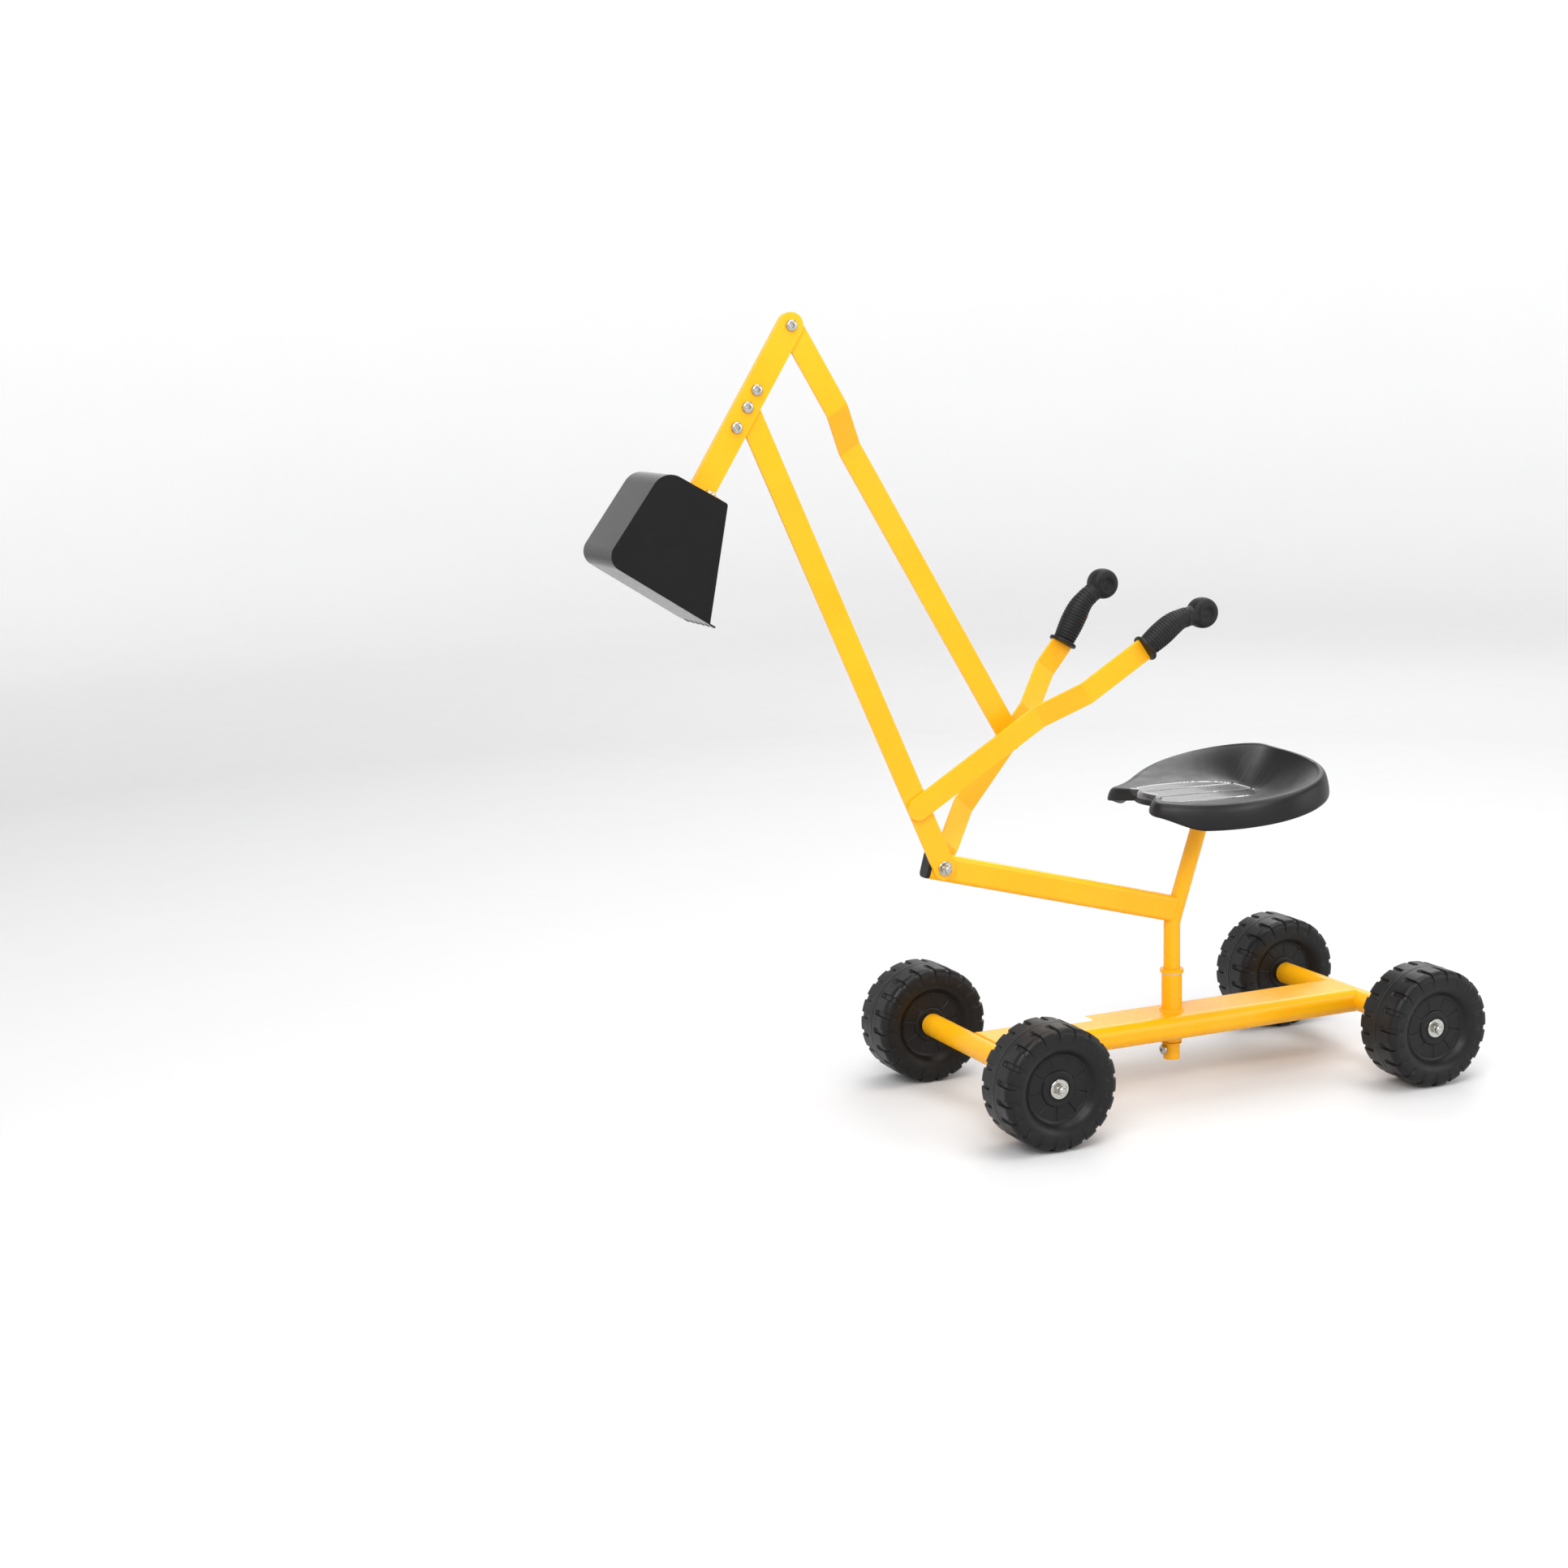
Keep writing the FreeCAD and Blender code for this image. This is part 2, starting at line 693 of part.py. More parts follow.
def make_control_lever():
    """Lever on the far side of the beam, stepping outwards twice on its way to the grip."""
    half = dim("bar_width") / 2
    angle = dim("control_angle")
    foot, mid, top = (dim("control_" + k) for k in ("foot_y", "mid_y", "grip_y"))
    place = side_frame(dim("pivot_x"), foot, dim("pivot_z"), angle)
    flange_at, end = 328.0, 390.0
    route = [(-half - 5, 0), (30, 0), (84, mid - foot), (229, mid - foot), (287, top - foot),
             (end, top - foot)]
    pin = Vector(dim("rod_pin_x") - dim("pivot_x"), 0, dim("rod_pin_z") - dim("pivot_z"))
    along = pin.dot(heading(angle))
    across = pin.dot(heading(angle + 90))
    hole = dim("bolt_radius") + dim("running_gap")
    outline = tang_outline(-half, flange_at, end - 15, half)
    lever = joggled_bar("control_lever", place, route, outline,
                        [(0, 0, hole), (along, across, dim("bolt_radius"))])
    node(group([lever]), "control_lever")  # the bar itself bores its grip
    start = Vector(dim("pivot_x"), top, dim("pivot_z")) + heading(angle) * flange_at
    make_grip("right_grip", lever, start, angle - 10.7, dim("grip_bend"))
    x, z = dim("rod_pin_x"), dim("rod_pin_z")
    half_bar = dim("bar_thick") / 2
    near = dim("rod_low_y") + half_bar + 0.3
    node(bolt(along_y(x, near, z), near - mid + half_bar + 8), "rod_bolt")
    node(nut(turned(along_y(x, mid - half_bar, z))), "rod_nut")
    gap = dim("rod_low_y") - mid - 2 * half_bar - 0.3
    node(tube("8", "dims.bolt_radius", f"{gap}", along_y(x, mid + half_bar, z)), "rod_spacer")


def arm_point(distance):
    """A point on the boom's centre line, and the elbow is at boom_length."""
    return (Vector(dim("pivot_x"), dim("boom_y"), dim("pivot_z"))
            + heading(dim("boom_angle")) * distance)


def tip_point():
    return arm_point(dim("boom_length")) - heading(dim("dipper_angle")) * dim("dipper_reach")


def make_link_rod():
    half = dim("bar_width") / 2
    tip = tip_point()
    pin = Vector(dim("rod_pin_x"), dim("rod_low_y"), dim("rod_pin_z"))
    span = Vector(tip.x - pin.x, 0, tip.z - pin.z)
    length = span.Length
    angle = math.degrees(math.atan2(span.z, span.x))
    step = dim("boom_y") - dim("rod_low_y")
    place = side_frame(pin.x, pin.y, pin.z, angle)
    route = [(-30, 0), (length - 165, 0), (length - 112, step), (length + 30, step)]
    head = dim("rod_head_radius")
    foot = dim("rod_foot_radius")
    outline = bar_outline(-foot, length + head, half, foot, head)
    hole = dim("bolt_radius") + dim("running_gap")
    node(joggled_bar("link_rod", place, route, outline,
                     [(0, 0, hole), (length, 0, dim("rod_slot_radius"))]), "link_rod")


# ---------------------------------------------------------------- dipper and bucket

def make_dipper():
    """Folded channel: two flat cheeks joined by a web on the front edge, with a foot."""
    tip = tip_point()
    half, wall, gap = dim("dipper_width") / 2, dim("dipper_wall"), dim("dipper_gap")
    deep = gap + 2 * wall
    foot_at = dim("dipper_foot")
    place = side_frame(tip.x, tip.y, tip.z, dim("dipper_angle"))
    bolt_r = dim("bolt_radius")
    reach = dim("dipper_reach")
    stops = (reach - 22.2, reach + 26.4)
    holes = [(x, 0, bolt_r) for x in (0, stops[0], reach, stops[1])]
    outline = rounded_outline([(-half, -half), (foot_at, -half), (foot_at, half), (-half, half)],
                              [half - 0.05, 0, 0, half - 0.05])
    channel = side_plate("dipper_block", outline, f"{deep}", place, holes)
    inside = rounded_outline([(-half - 5, -half - 5), (foot_at + 5, -half - 5),
                              (foot_at + 5, half - wall), (-half + wall, half - wall)],
                             [0, 0, 0, half - wall - 0.1])
    hollow = side_plate("dipper_hollow", inside, f"{gap}", place)
    angle = dim("bucket_angle")
    foot_point = tip + heading(dim("dipper_angle")) * (foot_at - 1.2)
    foot_frame = side_frame(foot_point.x, foot_point.y, foot_point.z, angle)
    foot = box("dims.dipper_width", f"{deep} + dims.foot_reach", "dims.foot_thick",
               foot_frame.multiply(upright(-half, -deep / 2, -1.2)))
    bolt_spot = foot_frame.multiply(upright(-5, deep / 2 + 12, dim("foot_thick") - 1.2 + 0.05))
    drill = cylinder("dims.bolt_radius", "30", bolt_spot.multiply(upright(0, 0, -20)))
    margin, depth = 50.0, 12.0
    below = box(f"{2 * margin}", f"{2 * margin}", f"{depth}",
                foot_frame.multiply(upright(-margin, -margin, -1.2 - depth)))
    node(cut(fuse([cut(channel, hollow), foot]), fuse([drill, below])), "dipper_channel")
    make_bucket(foot_frame.multiply(upright(0, 0, -1.25)), drill)
    node(bolt(bolt_spot, 14), "bucket_bolt")
    node(nut(bolt_spot.multiply(turned(upright(0, 0, -3.1 - dim("bucket_skin"))))), "bucket_nut")
    near, far = tip.y + deep / 2 + 0.05, tip.y - deep / 2 - 0.05
    names = {"tip": [0], "elbow": [reach], "stop": stops}
    for name, spots in names.items():
        bolts, nuts = [], []
        for spot in spots:
            point = tip + heading(dim("dipper_angle")) * spot
            bolts.append(bolt(along_y(point.x, near, point.z), near - far + 8))
            nuts.append(nut(turned(along_y(point.x, far, point.z))))
        plural = "s" if len(bolts) > 1 else ""
        node(group(bolts) if plural else bolts[0], name + "_bolt" + plural)
        node(group(nuts) if plural else nuts[0], name + "_nut" + plural)


def make_bucket(place, drill):
    """Folded sheet scoop, open to the rear, with a toothed lip along the bottom plate."""
    skin = dim("bucket_skin")
    top_end, back, floor, lip = 68.0, 82.5, -121.7, (-62.0, -128.7)
    outline = rounded_outline([(-18.2, 0), (top_end, 0), (back, floor), lip], [4, 24, 17, 0])
    block = side_plate("bucket_block", outline, "dims.bucket_width", place)
    hollow = rounded_outline([(-60, -skin), (top_end - skin, -skin),
                              (back - skin - 0.2, floor + skin), (-100, -129.0)],
                             [0, 24 - skin, 17 - skin, 0])
    space = side_plate("bucket_space", hollow,
                       "dims.bucket_width - 2 * dims.bucket_skin", place)
    lean = math.degrees(math.atan2(floor - lip[1], back - lip[0]))
    edge = place.multiply(side_frame(lip[0], 0, lip[1], lean))
    tooth, teeth = 8.0, 6
    pitch = dim("bucket_width") / teeth
    fangs = []
    for i in range(teeth):
        y = -dim("bucket_width") / 2 + pitch * (i + 0.5) - tooth / 2
        fangs.append(box("10", f"{tooth}", "dims.bucket_skin",
                         edge.multiply(upright(-8.5, y, 0))))
    node(cut(fuse([cut(block, space)] + fangs), drill), "bucket")


# ---------------------------------------------------------------- build and write

def write_nodes():
    shift = Placement(Vector(dim("swivel_x"), 0, 0), Rotation())
    for obj in nodes:
        obj.Placement = shift.multiply(obj.Placement)
    doc.recompute()
    for obj in doc.Objects:
        if "Invalid" in obj.State or "Error" in obj.State:
            raise RuntimeError(f"{obj.Name} ({obj.Label}) failed: {obj.State}")
    os.makedirs("parts", exist_ok=True)
    whole = FreeCAD.BoundBox()
    for obj in nodes:
        if obj.Shape.isNull() or not obj.Shape.isValid() or not obj.Shape.Solids:
            raise RuntimeError(f"{obj.Label} has no sound solid")
        obj.Shape.exportStep(f"parts/{obj.Label}.step")
        whole.add(obj.Shape.optimalBoundingBox(False))
        print(f"{obj.Label}: {len(obj.Shape.Solids)} solids, {obj.Shape.Volume / 1000:.2f} cm3")
    print(f"box X {whole.XMin:.3f} to {whole.XMax:.3f}, Y {whole.YMin:.3f} to {whole.YMax:.3f}, "
          f"Z {whole.ZMin:.3f} to {whole.ZMax:.3f}")
    print(f"elbow {arm_point(dim('boom_length'))}, tip {tip_point()}")


make_axle("front", dim("front_axle_x"))
make_axle("rear", dim("rear_axle_x"))
make_rail()
make_post()
make_beam()
make_seat()
make_pivot()
make_boom()
make_left_lever()
make_control_lever()
make_link_rod()
make_dipper()
doc.recompute()
write_nodes()
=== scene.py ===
"""Ride-on digger: the looks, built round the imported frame.

Metres, +X forwards to the bucket, +Y to the rider's left, +Z up, ground at Z = 0.
"""
import json
import math

import bmesh
import bpy
from mathutils import Matrix, Vector, noise


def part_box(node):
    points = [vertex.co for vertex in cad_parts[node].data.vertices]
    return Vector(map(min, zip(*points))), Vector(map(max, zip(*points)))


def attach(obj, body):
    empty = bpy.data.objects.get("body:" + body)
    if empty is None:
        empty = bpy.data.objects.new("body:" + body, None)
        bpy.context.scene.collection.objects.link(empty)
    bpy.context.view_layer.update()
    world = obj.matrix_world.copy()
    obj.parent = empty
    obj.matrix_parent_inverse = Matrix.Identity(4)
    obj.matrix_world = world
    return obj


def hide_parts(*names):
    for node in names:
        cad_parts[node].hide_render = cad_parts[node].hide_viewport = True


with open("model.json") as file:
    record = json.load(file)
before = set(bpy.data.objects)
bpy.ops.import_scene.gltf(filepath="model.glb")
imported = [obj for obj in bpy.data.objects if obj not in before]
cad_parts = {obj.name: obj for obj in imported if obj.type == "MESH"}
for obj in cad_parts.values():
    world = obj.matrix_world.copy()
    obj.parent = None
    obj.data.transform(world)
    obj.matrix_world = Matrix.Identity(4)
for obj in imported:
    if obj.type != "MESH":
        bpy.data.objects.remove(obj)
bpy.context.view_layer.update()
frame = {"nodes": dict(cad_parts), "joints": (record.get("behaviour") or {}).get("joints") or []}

MM = 0.001
TAU = 2 * math.pi
joints = {joint["name"]: Vector(joint["pos_m"]) for joint in frame["joints"]}
nodes = frame["nodes"]
SWIVEL = Vector((joints["swivel"].x, 0, 0))
PIVOT = joints["boom_lift"]
WORLD_X, WORLD_Y, WORLD_Z = Vector((1, 0, 0)), Vector((0, 1, 0)), Vector((0, 0, 1))
RING_POINTS = 48
WELD_GAP = 2e-6


def smoothstep(low, high, value):
    t = min(max((value - low) / (high - low), 0.0), 1.0)
    return t * t * (3 - 2 * t)


def heading(degrees):
    """A direction in the X-Z plane, measured from +X towards +Z."""
    return Vector((math.cos(math.radians(degrees)), 0, math.sin(math.radians(degrees))))


# ---------------------------------------------------------------- materials

class Shader:
    """A small helper round one material's node tree."""

    def __init__(self, name):
        self.material = bpy.data.materials.new(name)
        self.material.use_nodes = True
        self.tree = self.material.node_tree
        self.principled = self.tree.nodes["Principled BSDF"]
        self.position = self.tree.nodes.new("ShaderNodeTexCoord").outputs["Object"]

    def add(self, kind, inputs=None, **settings):
        item = self.tree.nodes.new(kind)
        for key, value in settings.items():
            setattr(item, key, value)
        for key, value in (inputs or {}).items():
            self.feed(item.inputs[key], value)
        return item

    def feed(self, socket, value):
        if isinstance(value, bpy.types.NodeSocket):
            self.tree.links.new(value, socket)
        else:
            socket.default_value = value

    def noise(self, scale, detail=4.0, roughness=0.55, vector=None):
        item = self.add("ShaderNodeTexNoise", {"Vector": vector or self.position, "Scale": scale,
                                               "Detail": detail, "Roughness": roughness})
        return item.outputs["Fac"]

    def ramp(self, value, low, high, low_at=0.35, high_at=0.65):
        """value mapped from low_at..high_at to low..high, for numbers or colours."""
        item = self.add("ShaderNodeMapRange",
                        {"Value": value, "From Min": low_at, "From Max": high_at})
        if isinstance(low, tuple):
            return self.mix(item.outputs["Result"], low, high)
        item.inputs["To Min"].default_value = low
        item.inputs["To Max"].default_value = high
        return item.outputs["Result"]

    def mix(self, factor, first, second):
        """first where factor is 0 and second where it is 1; each is a colour or a socket."""
        item = self.add("ShaderNodeMix", data_type="RGBA")
        self.feed(item.inputs["Factor"], factor)
        for key, value in (("A", first), ("B", second)):
            self.feed(item.inputs[key], (*value, 1) if isinstance(value, tuple) else value)
        return item.outputs["Result"]

    def math(self, operation, first, second):
        item = self.add("ShaderNodeMath", operation=operation)
        self.feed(item.inputs[0], first)
        self.feed(item.inputs[1], second)
        return item.outputs["Value"]

    def stretched(self, x, y, z):
        """The position scaled by axis, so that a pattern on it comes out in streaks."""
        item = self.add("ShaderNodeMapping", {"Vector": self.position, "Scale": (x, y, z)})
        return item.outputs["Vector"]

    def edges(self, radius, sharp):
        """1 on outer edges, 0 elsewhere: how far a bevelled normal leans away from the true one."""
        bevel = self.add("ShaderNodeBevel", {"Radius": radius}, samples=4)
        plain = self.add("ShaderNodeNewGeometry")
        dot = self.add("ShaderNodeVectorMath", operation="DOT_PRODUCT")
        self.feed(dot.inputs[0], bevel.outputs["Normal"])
        self.feed(dot.inputs[1], plain.outputs["Normal"])
        return self.ramp(dot.outputs["Value"], 1.0, 0.0, sharp, 0.999)

    def bump(self, height, distance, strength=1.0, normal=None):
        item = self.add("ShaderNodeBump", {"Height": height, "Distance": distance,
                                           "Strength": strength})
        if normal:
            self.feed(item.inputs["Normal"], normal)
        return item.outputs["Normal"]

    def finish(self, **sockets):
        """Sets the surface's own sockets by short names, and gives the material back."""
        names = {"color": "Base Color", "rough": "Roughness", "metal": "Metallic",
                 "normal": "Normal", "coat": "Coat Weight", "coat_rough": "Coat Roughness",
                 "specular": "Specular IOR Level"}
        for key, value in sockets.items():
            socket = self.principled.inputs[names[key]]
            self.feed(socket, (*value, 1) if isinstance(value, tuple) else value)
        return self.material


def yellow_enamel():
    """Thick glossy stove enamel: orange peel, faint colour drift, dusty film, fine rub marks."""
    s = Shader("yellow_enamel")
    drift = s.noise(9.0, 3)
    tone = s.ramp(drift, (0.91, 0.405, 0.003), (0.95, 0.45, 0.005), 0.3, 0.7)
    dust = s.ramp(s.noise(7.0, 2, 0.5), 0.0, 0.08, 0.45, 0.80)
    tone = s.mix(dust, tone, (0.86, 0.52, 0.10))
    rubs = s.ramp(s.noise(30.0, 3, 0.6, s.stretched(1, 1, 3)), 0.22, 0.32, 0.35, 0.75)
    peel = s.bump(s.noise(420.0, 2, 0.4), 0.00004, 0.45)
    wave = s.bump(s.noise(30.0, 2, 0.4), 0.0003, 0.25, peel)
    return s.finish(color=tone, rough=rubs, normal=wave, coat=0.06, coat_rough=0.10, specular=0.25)


def black_enamel():
    """Glossy black enamel on folded sheet, with fine scuffs and a slightly worn edge."""
    s = Shader("black_enamel")
    dust = s.ramp(s.noise(24.0, 6, 0.65), 0.0, 0.5, 0.50, 0.85)
    tone = s.mix(dust, (0.0020, 0.0020, 0.0022), (0.0080, 0.0078, 0.0072))
    worn = s.math("MULTIPLY", s.edges(0.0009, 0.80), s.ramp(s.noise(180.0, 4), 0.1, 0.8))
    tone = s.mix(worn, tone, (0.09, 0.088, 0.085))
    rough = s.ramp(s.noise(90.0, 6, 0.7, s.stretched(5, 1, 1)), 0.12, 0.26, 0.3, 0.75)
    peel = s.bump(s.noise(300.0, 2, 0.4), 0.00005, 0.5)
    wave = s.bump(s.noise(22.0, 2, 0.4), 0.0007, 0.25, peel)
    return s.finish(color=tone, rough=rough, normal=wave, coat=0.1, coat_rough=0.1,
                    specular=0.25)


def moulded_black(name, low_rough, high_rough, tone, grain=900.0, depth=0.00006):
    """Moulded plastic: fine spark texture, soft flow marks and a light bloom of dust."""
    s = Shader(name)
    bloom = s.ramp(s.noise(14.0, 5, 0.6), 0.0, 0.55, 0.42, 0.8)
    base = s.mix(bloom, (tone, tone, tone * 1.04), (tone * 1.9, tone * 1.85, tone * 1.8))
    edge = s.math("MULTIPLY", s.edges(0.0008, 0.82), s.ramp(s.noise(120.0, 4), 0.05, 0.5))
    base = s.mix(edge, base, (tone * 5, tone * 5, tone * 5))
    rough = s.ramp(s.noise(45.0, 5, 0.6), low_rough, high_rough, 0.3, 0.7)
    grainy = s.bump(s.noise(grain, 3, 0.6), depth, 0.8)
    flow = s.bump(s.noise(30.0, 3, 0.5, s.stretched(1, 1, 3)), 0.0005, 0.15, grainy)
    return s.finish(color=base, rough=rough, normal=flow, specular=0.28)


def polished_slats():
    """Glossy wet-look slats: lighter streaks running from front to back are painted into the colour
    as a streaky reflection, and the roughness is streaked the same way.
    """
    s = Shader("seat_panel_plastic")
    # Painted reflection: lighter bands along the slats, in the colour itself.
    reflection_streaks = s.noise(120.0, 6, 0.7, s.stretched(0.06, 1, 1))
    tone = s.ramp(reflection_streaks, (0.014, 0.012, 0.012), (0.085, 0.074, 0.072), 0.38, 0.70)
    rough = s.ramp(s.noise(150.0, 5, 0.7, s.stretched(0.05, 1, 1)), 0.10, 0.26, 0.3, 0.75)
    fine = s.bump(s.noise(420.0, 3, 0.6, s.stretched(0.04, 1, 1)), 0.00006, 0.6)
    wave = s.bump(s.noise(26.0, 3, 0.5), 0.0008, 0.5, fine)
    return s.finish(color=tone, rough=rough, normal=wave, specular=0.7, coat=0.5,
                    coat_rough=0.08)


def zinc_plate():
    """Bright zinc with a faint yellow passivate, brushed and lightly stained."""
    s = Shader("zinc_plate")
    tone = s.ramp(s.noise(160.0, 4, 0.6), (0.50, 0.50, 0.48), (0.46, 0.42, 0.32), 0.45, 0.7)
    rough = s.ramp(s.noise(700.0, 3, 0.6), 0.14, 0.28, 0.3, 0.7)
    fine = s.bump(s.noise(1600.0, 2, 0.5), 0.00003, 0.6)
    return s.finish(color=tone, rough=rough, metal=1.0, normal=fine)


def plain_nylon():
    """Natural nylon: off-white, matt, with a faint grain."""
    s = Shader("nylon")
    tone = s.ramp(s.noise(60.0, 3), (0.62, 0.60, 0.54), (0.70, 0.68, 0.62), 0.3, 0.7)
    return s.finish(color=tone, rough=s.ramp(s.noise(300.0, 3), 0.38, 0.52),
                    normal=s.bump(s.noise(800.0, 2), 0.00003, 0.5))


def paper_label():
    """Blank white sticker paper with a slight sheen."""
    s = Shader("blank_label")
    tone = s.ramp(s.noise(220.0, 5), (0.80, 0.80, 0.78), (0.88, 0.88, 0.87), 0.35, 0.65)
    return s.finish(color=tone, rough=s.ramp(s.noise(90.0, 3), 0.30, 0.45),
                    normal=s.bump(s.noise(500.0, 3), 0.00003, 0.5))


YELLOW = yellow_enamel()
BLACK = black_enamel()
WHEEL = moulded_black("wheel_plastic", 0.34, 0.48, 0.0045)
SEAT = moulded_black("seat_plastic", 0.34, 0.46, 0.007, 1400.0, 0.00004)
SEAT_PANEL = polished_slats()
RUBBER = moulded_black("grip_rubber", 0.45, 0.60, 0.006, 700.0, 0.00009)
PLUG = moulded_black("plug_plastic", 0.35, 0.45, 0.006)
ZINC = zinc_plate()
NYLON = plain_nylon()
LABEL = paper_label()


# ---------------------------------------------------------------- mesh helpers

def add_piece(name, bm, materials, body, replaced=(), crease=35):
    """Turns a bmesh into a named piece that rides on a body and stands for CAD nodes."""
    bmesh.ops.recalc_face_normals(bm, faces=bm.faces)
    mesh = bpy.data.meshes.new(name)
    bm.to_mesh(mesh)
    bm.free()
    for material in materials if isinstance(materials, list) else [materials]:
        mesh.materials.append(material)
    mesh.shade_smooth()
    mesh.set_sharp_from_angle(angle=math.radians(crease))
    obj = bpy.data.objects.new(name, mesh)
    bpy.context.scene.collection.objects.link(obj)
    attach(obj, body)
    if replaced:
        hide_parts(*replaced)
    return obj


def cad_mesh(node):
    """A bmesh of the CAD node, with the corners that its faces share welded together."""
    bm = bmesh.new()
    bm.from_mesh(nodes[node].data)
    bmesh.ops.remove_doubles(bm, verts=bm.verts, dist=WELD_GAP)
    return bm


FLAT_ANGLE, CORNER_ANGLE = math.radians(0.4), math.radians(32)


def polished(node, body, material, radius):
    """The CAD shape with its hard corners rounded, as cut and painted metal has them."""
    bm = cad_mesh(node)
    bmesh.ops.dissolve_limit(bm, angle_limit=FLAT_ANGLE, verts=bm.verts, edges=bm.edges)
    sharp = [e for e in bm.edges
             if len(e.link_faces) == 2 and e.calc_face_angle(0) > CORNER_ANGLE]
    bmesh.ops.bevel(bm, geom=sharp, offset=radius, segments=3, profile=0.5,
                    affect="EDGES", clamp_overlap=True)
    obj = add_piece(node + "_skin", bm, material, body, [node], 40)
    weighted = obj.modifiers.new("even_shading", "WEIGHTED_NORMAL")
    weighted.keep_sharp = True


def frame_matrix(origin, axis):
    """Local Z along axis, moved to origin."""
    return Matrix.Translation(origin) @ axis.to_track_quat("Z", "Y").to_matrix().to_4x4()


def stack_rings(bm, rings, matrix, cap_first=False, cap_last=False):
    """Skins a list of closed rings of points. Each ring has the same number of points."""
    made = [[bm.verts.new(matrix @ Vector(p)) for p in points] for points in rings]
    count = len(made[0])
    for lower, upper in zip(made, made[1:]):
        for i in range(count):
            j = (i + 1) % count
            bm.faces.new((lower[i], lower[j], upper[j], upper[i]))
    if cap_first:
        bm.faces.new(made[0][::-1])
    if cap_last:
        bm.faces.new(made[-1])
    return made


def hex_radius(flat, angle):
    """Distance from the middle of a hexagon to its edge; flat is half the size across flats."""
    return flat / math.cos((angle + math.pi / 6) % (math.pi / 3) - math.pi / 6)


def ring(radius, height, count=RING_POINTS):
    """A circle of points round the local Z axis."""
    return [(radius * math.cos(a), radius * math.sin(a), height)
            for a in (TAU * i / count for i in range(count))]


def hex_ring(flat, height):
    """A hexagon of points round the local Z axis; flat is half the size across flats."""
    points = []
    for i in range(RING_POINTS):
        a = TAU * i / RING_POINTS
        radius = hex_radius(flat, a)
        points.append((radius * math.cos(a), radius * math.sin(a), height))
    return points


def islands(node):
    """The corner points of each of a node's separate solids."""
    bm = cad_mesh(node)
    seen, found = set(), []
    for first in bm.verts:
        if first in seen:
            continue
        seen.add(first)
        stack, member = [first], []
        while stack:
            vertex = stack.pop()
            member.append(vertex.co.copy())
            for edge in vertex.link_edges:
                other = edge.other_vert(vertex)
                if other not in seen:
                    seen.add(other)
                    stack.append(other)
        found.append(member)
    bm.free()
    return found


def span_along(points, axis):
    """(low end, high end) of a solid's middle line along an axis."""
    axis = axis.normalized()
    along = [p.dot(axis) for p in points]
    side = axis.orthogonal().normalized()
    other = axis.cross(side)
    middle = sum((direction * ((max(v) + min(v)) / 2)
                  for direction, v in ((side, [p.dot(side) for p in points]),
                                       (other, [p.dot(other) for p in points]))), Vector())
    return middle + axis * min(along), middle + axis * max(along)


# ---------------------------------------------------------------- fasteners

BOLT_R, HEAD_R, HEAD_H = 4.0 * MM, 7.0 * MM, 4.0 * MM
SOCKET_FLAT, SOCKET_DEPTH = 2.5 * MM, 2.2 * MM
NUT_FLAT = 6.4 * MM
COLLAR_R, COLLAR_START = 5.7 * MM, 0.66
THREAD_PITCH, THREAD_DEPTH = 1.25 * MM, 0.45 * MM
BOLT_THREAD, AXLE_THREAD = 12 * MM, 14 * MM
HEAD_EDGE, HEAD_FLAT = 0.7 * MM, 0.52
WASHER_BORE = BOLT_R + 0.1 * MM


def thread_rings(start, end):
    """Rings of a thread-like run between two heights, ending in a chamfer."""
    rings = []
    z = start
    while z < end - THREAD_PITCH:
        rings += [ring(BOLT_R, z), ring(BOLT_R - THREAD_DEPTH, z + THREAD_PITCH / 2)]
        z += THREAD_PITCH
    return rings + [ring(BOLT_R - 0.1 * MM, end - 0.8 * MM), ring(BOLT_R - 0.9 * MM, end)]


def mirrored(rings):
    """The same rings on the other side of the local XY plane."""
    return [[(x, y, -z) for x, y, z in points] for points in rings]


def button_bolt(node, body, axis):
    """Domed head with a hex socket; axis points from the tip to the head."""
    bm = bmesh.new()
    for points in islands(node):
        tip, top = span_along(points, axis)
        length = (top - tip).length
        matrix = frame_matrix(top, axis)
        dome = [ring(HEAD_R, -HEAD_H), ring(HEAD_R, -HEAD_H + HEAD_EDGE)]
        steps = 7
        for i in range(1, steps):
            a = math.pi / 2 * i / steps
            dome.append(ring(HEAD_R * (HEAD_FLAT + (1 - HEAD_FLAT) * math.cos(a)),
                             -HEAD_H + HEAD_EDGE + (HEAD_H - HEAD_EDGE) * math.sin(a)))
        inside = [ring(SOCKET_FLAT * 1.22, 0), hex_ring(SOCKET_FLAT, -0.3 * MM),
                  hex_ring(SOCKET_FLAT, -SOCKET_DEPTH)]
        stack_rings(bm, dome + inside, matrix, cap_last=True, cap_first=True)
        shank = [ring(BOLT_R, -HEAD_H + 0.2 * MM), ring(BOLT_R, -length + BOLT_THREAD)]
        run = mirrored(thread_rings(length - BOLT_THREAD, length))
        stack_rings(bm, shank + run, matrix, cap_first=True, cap_last=True)
    add_piece(node + "_detail", bm, ZINC, body, [node])


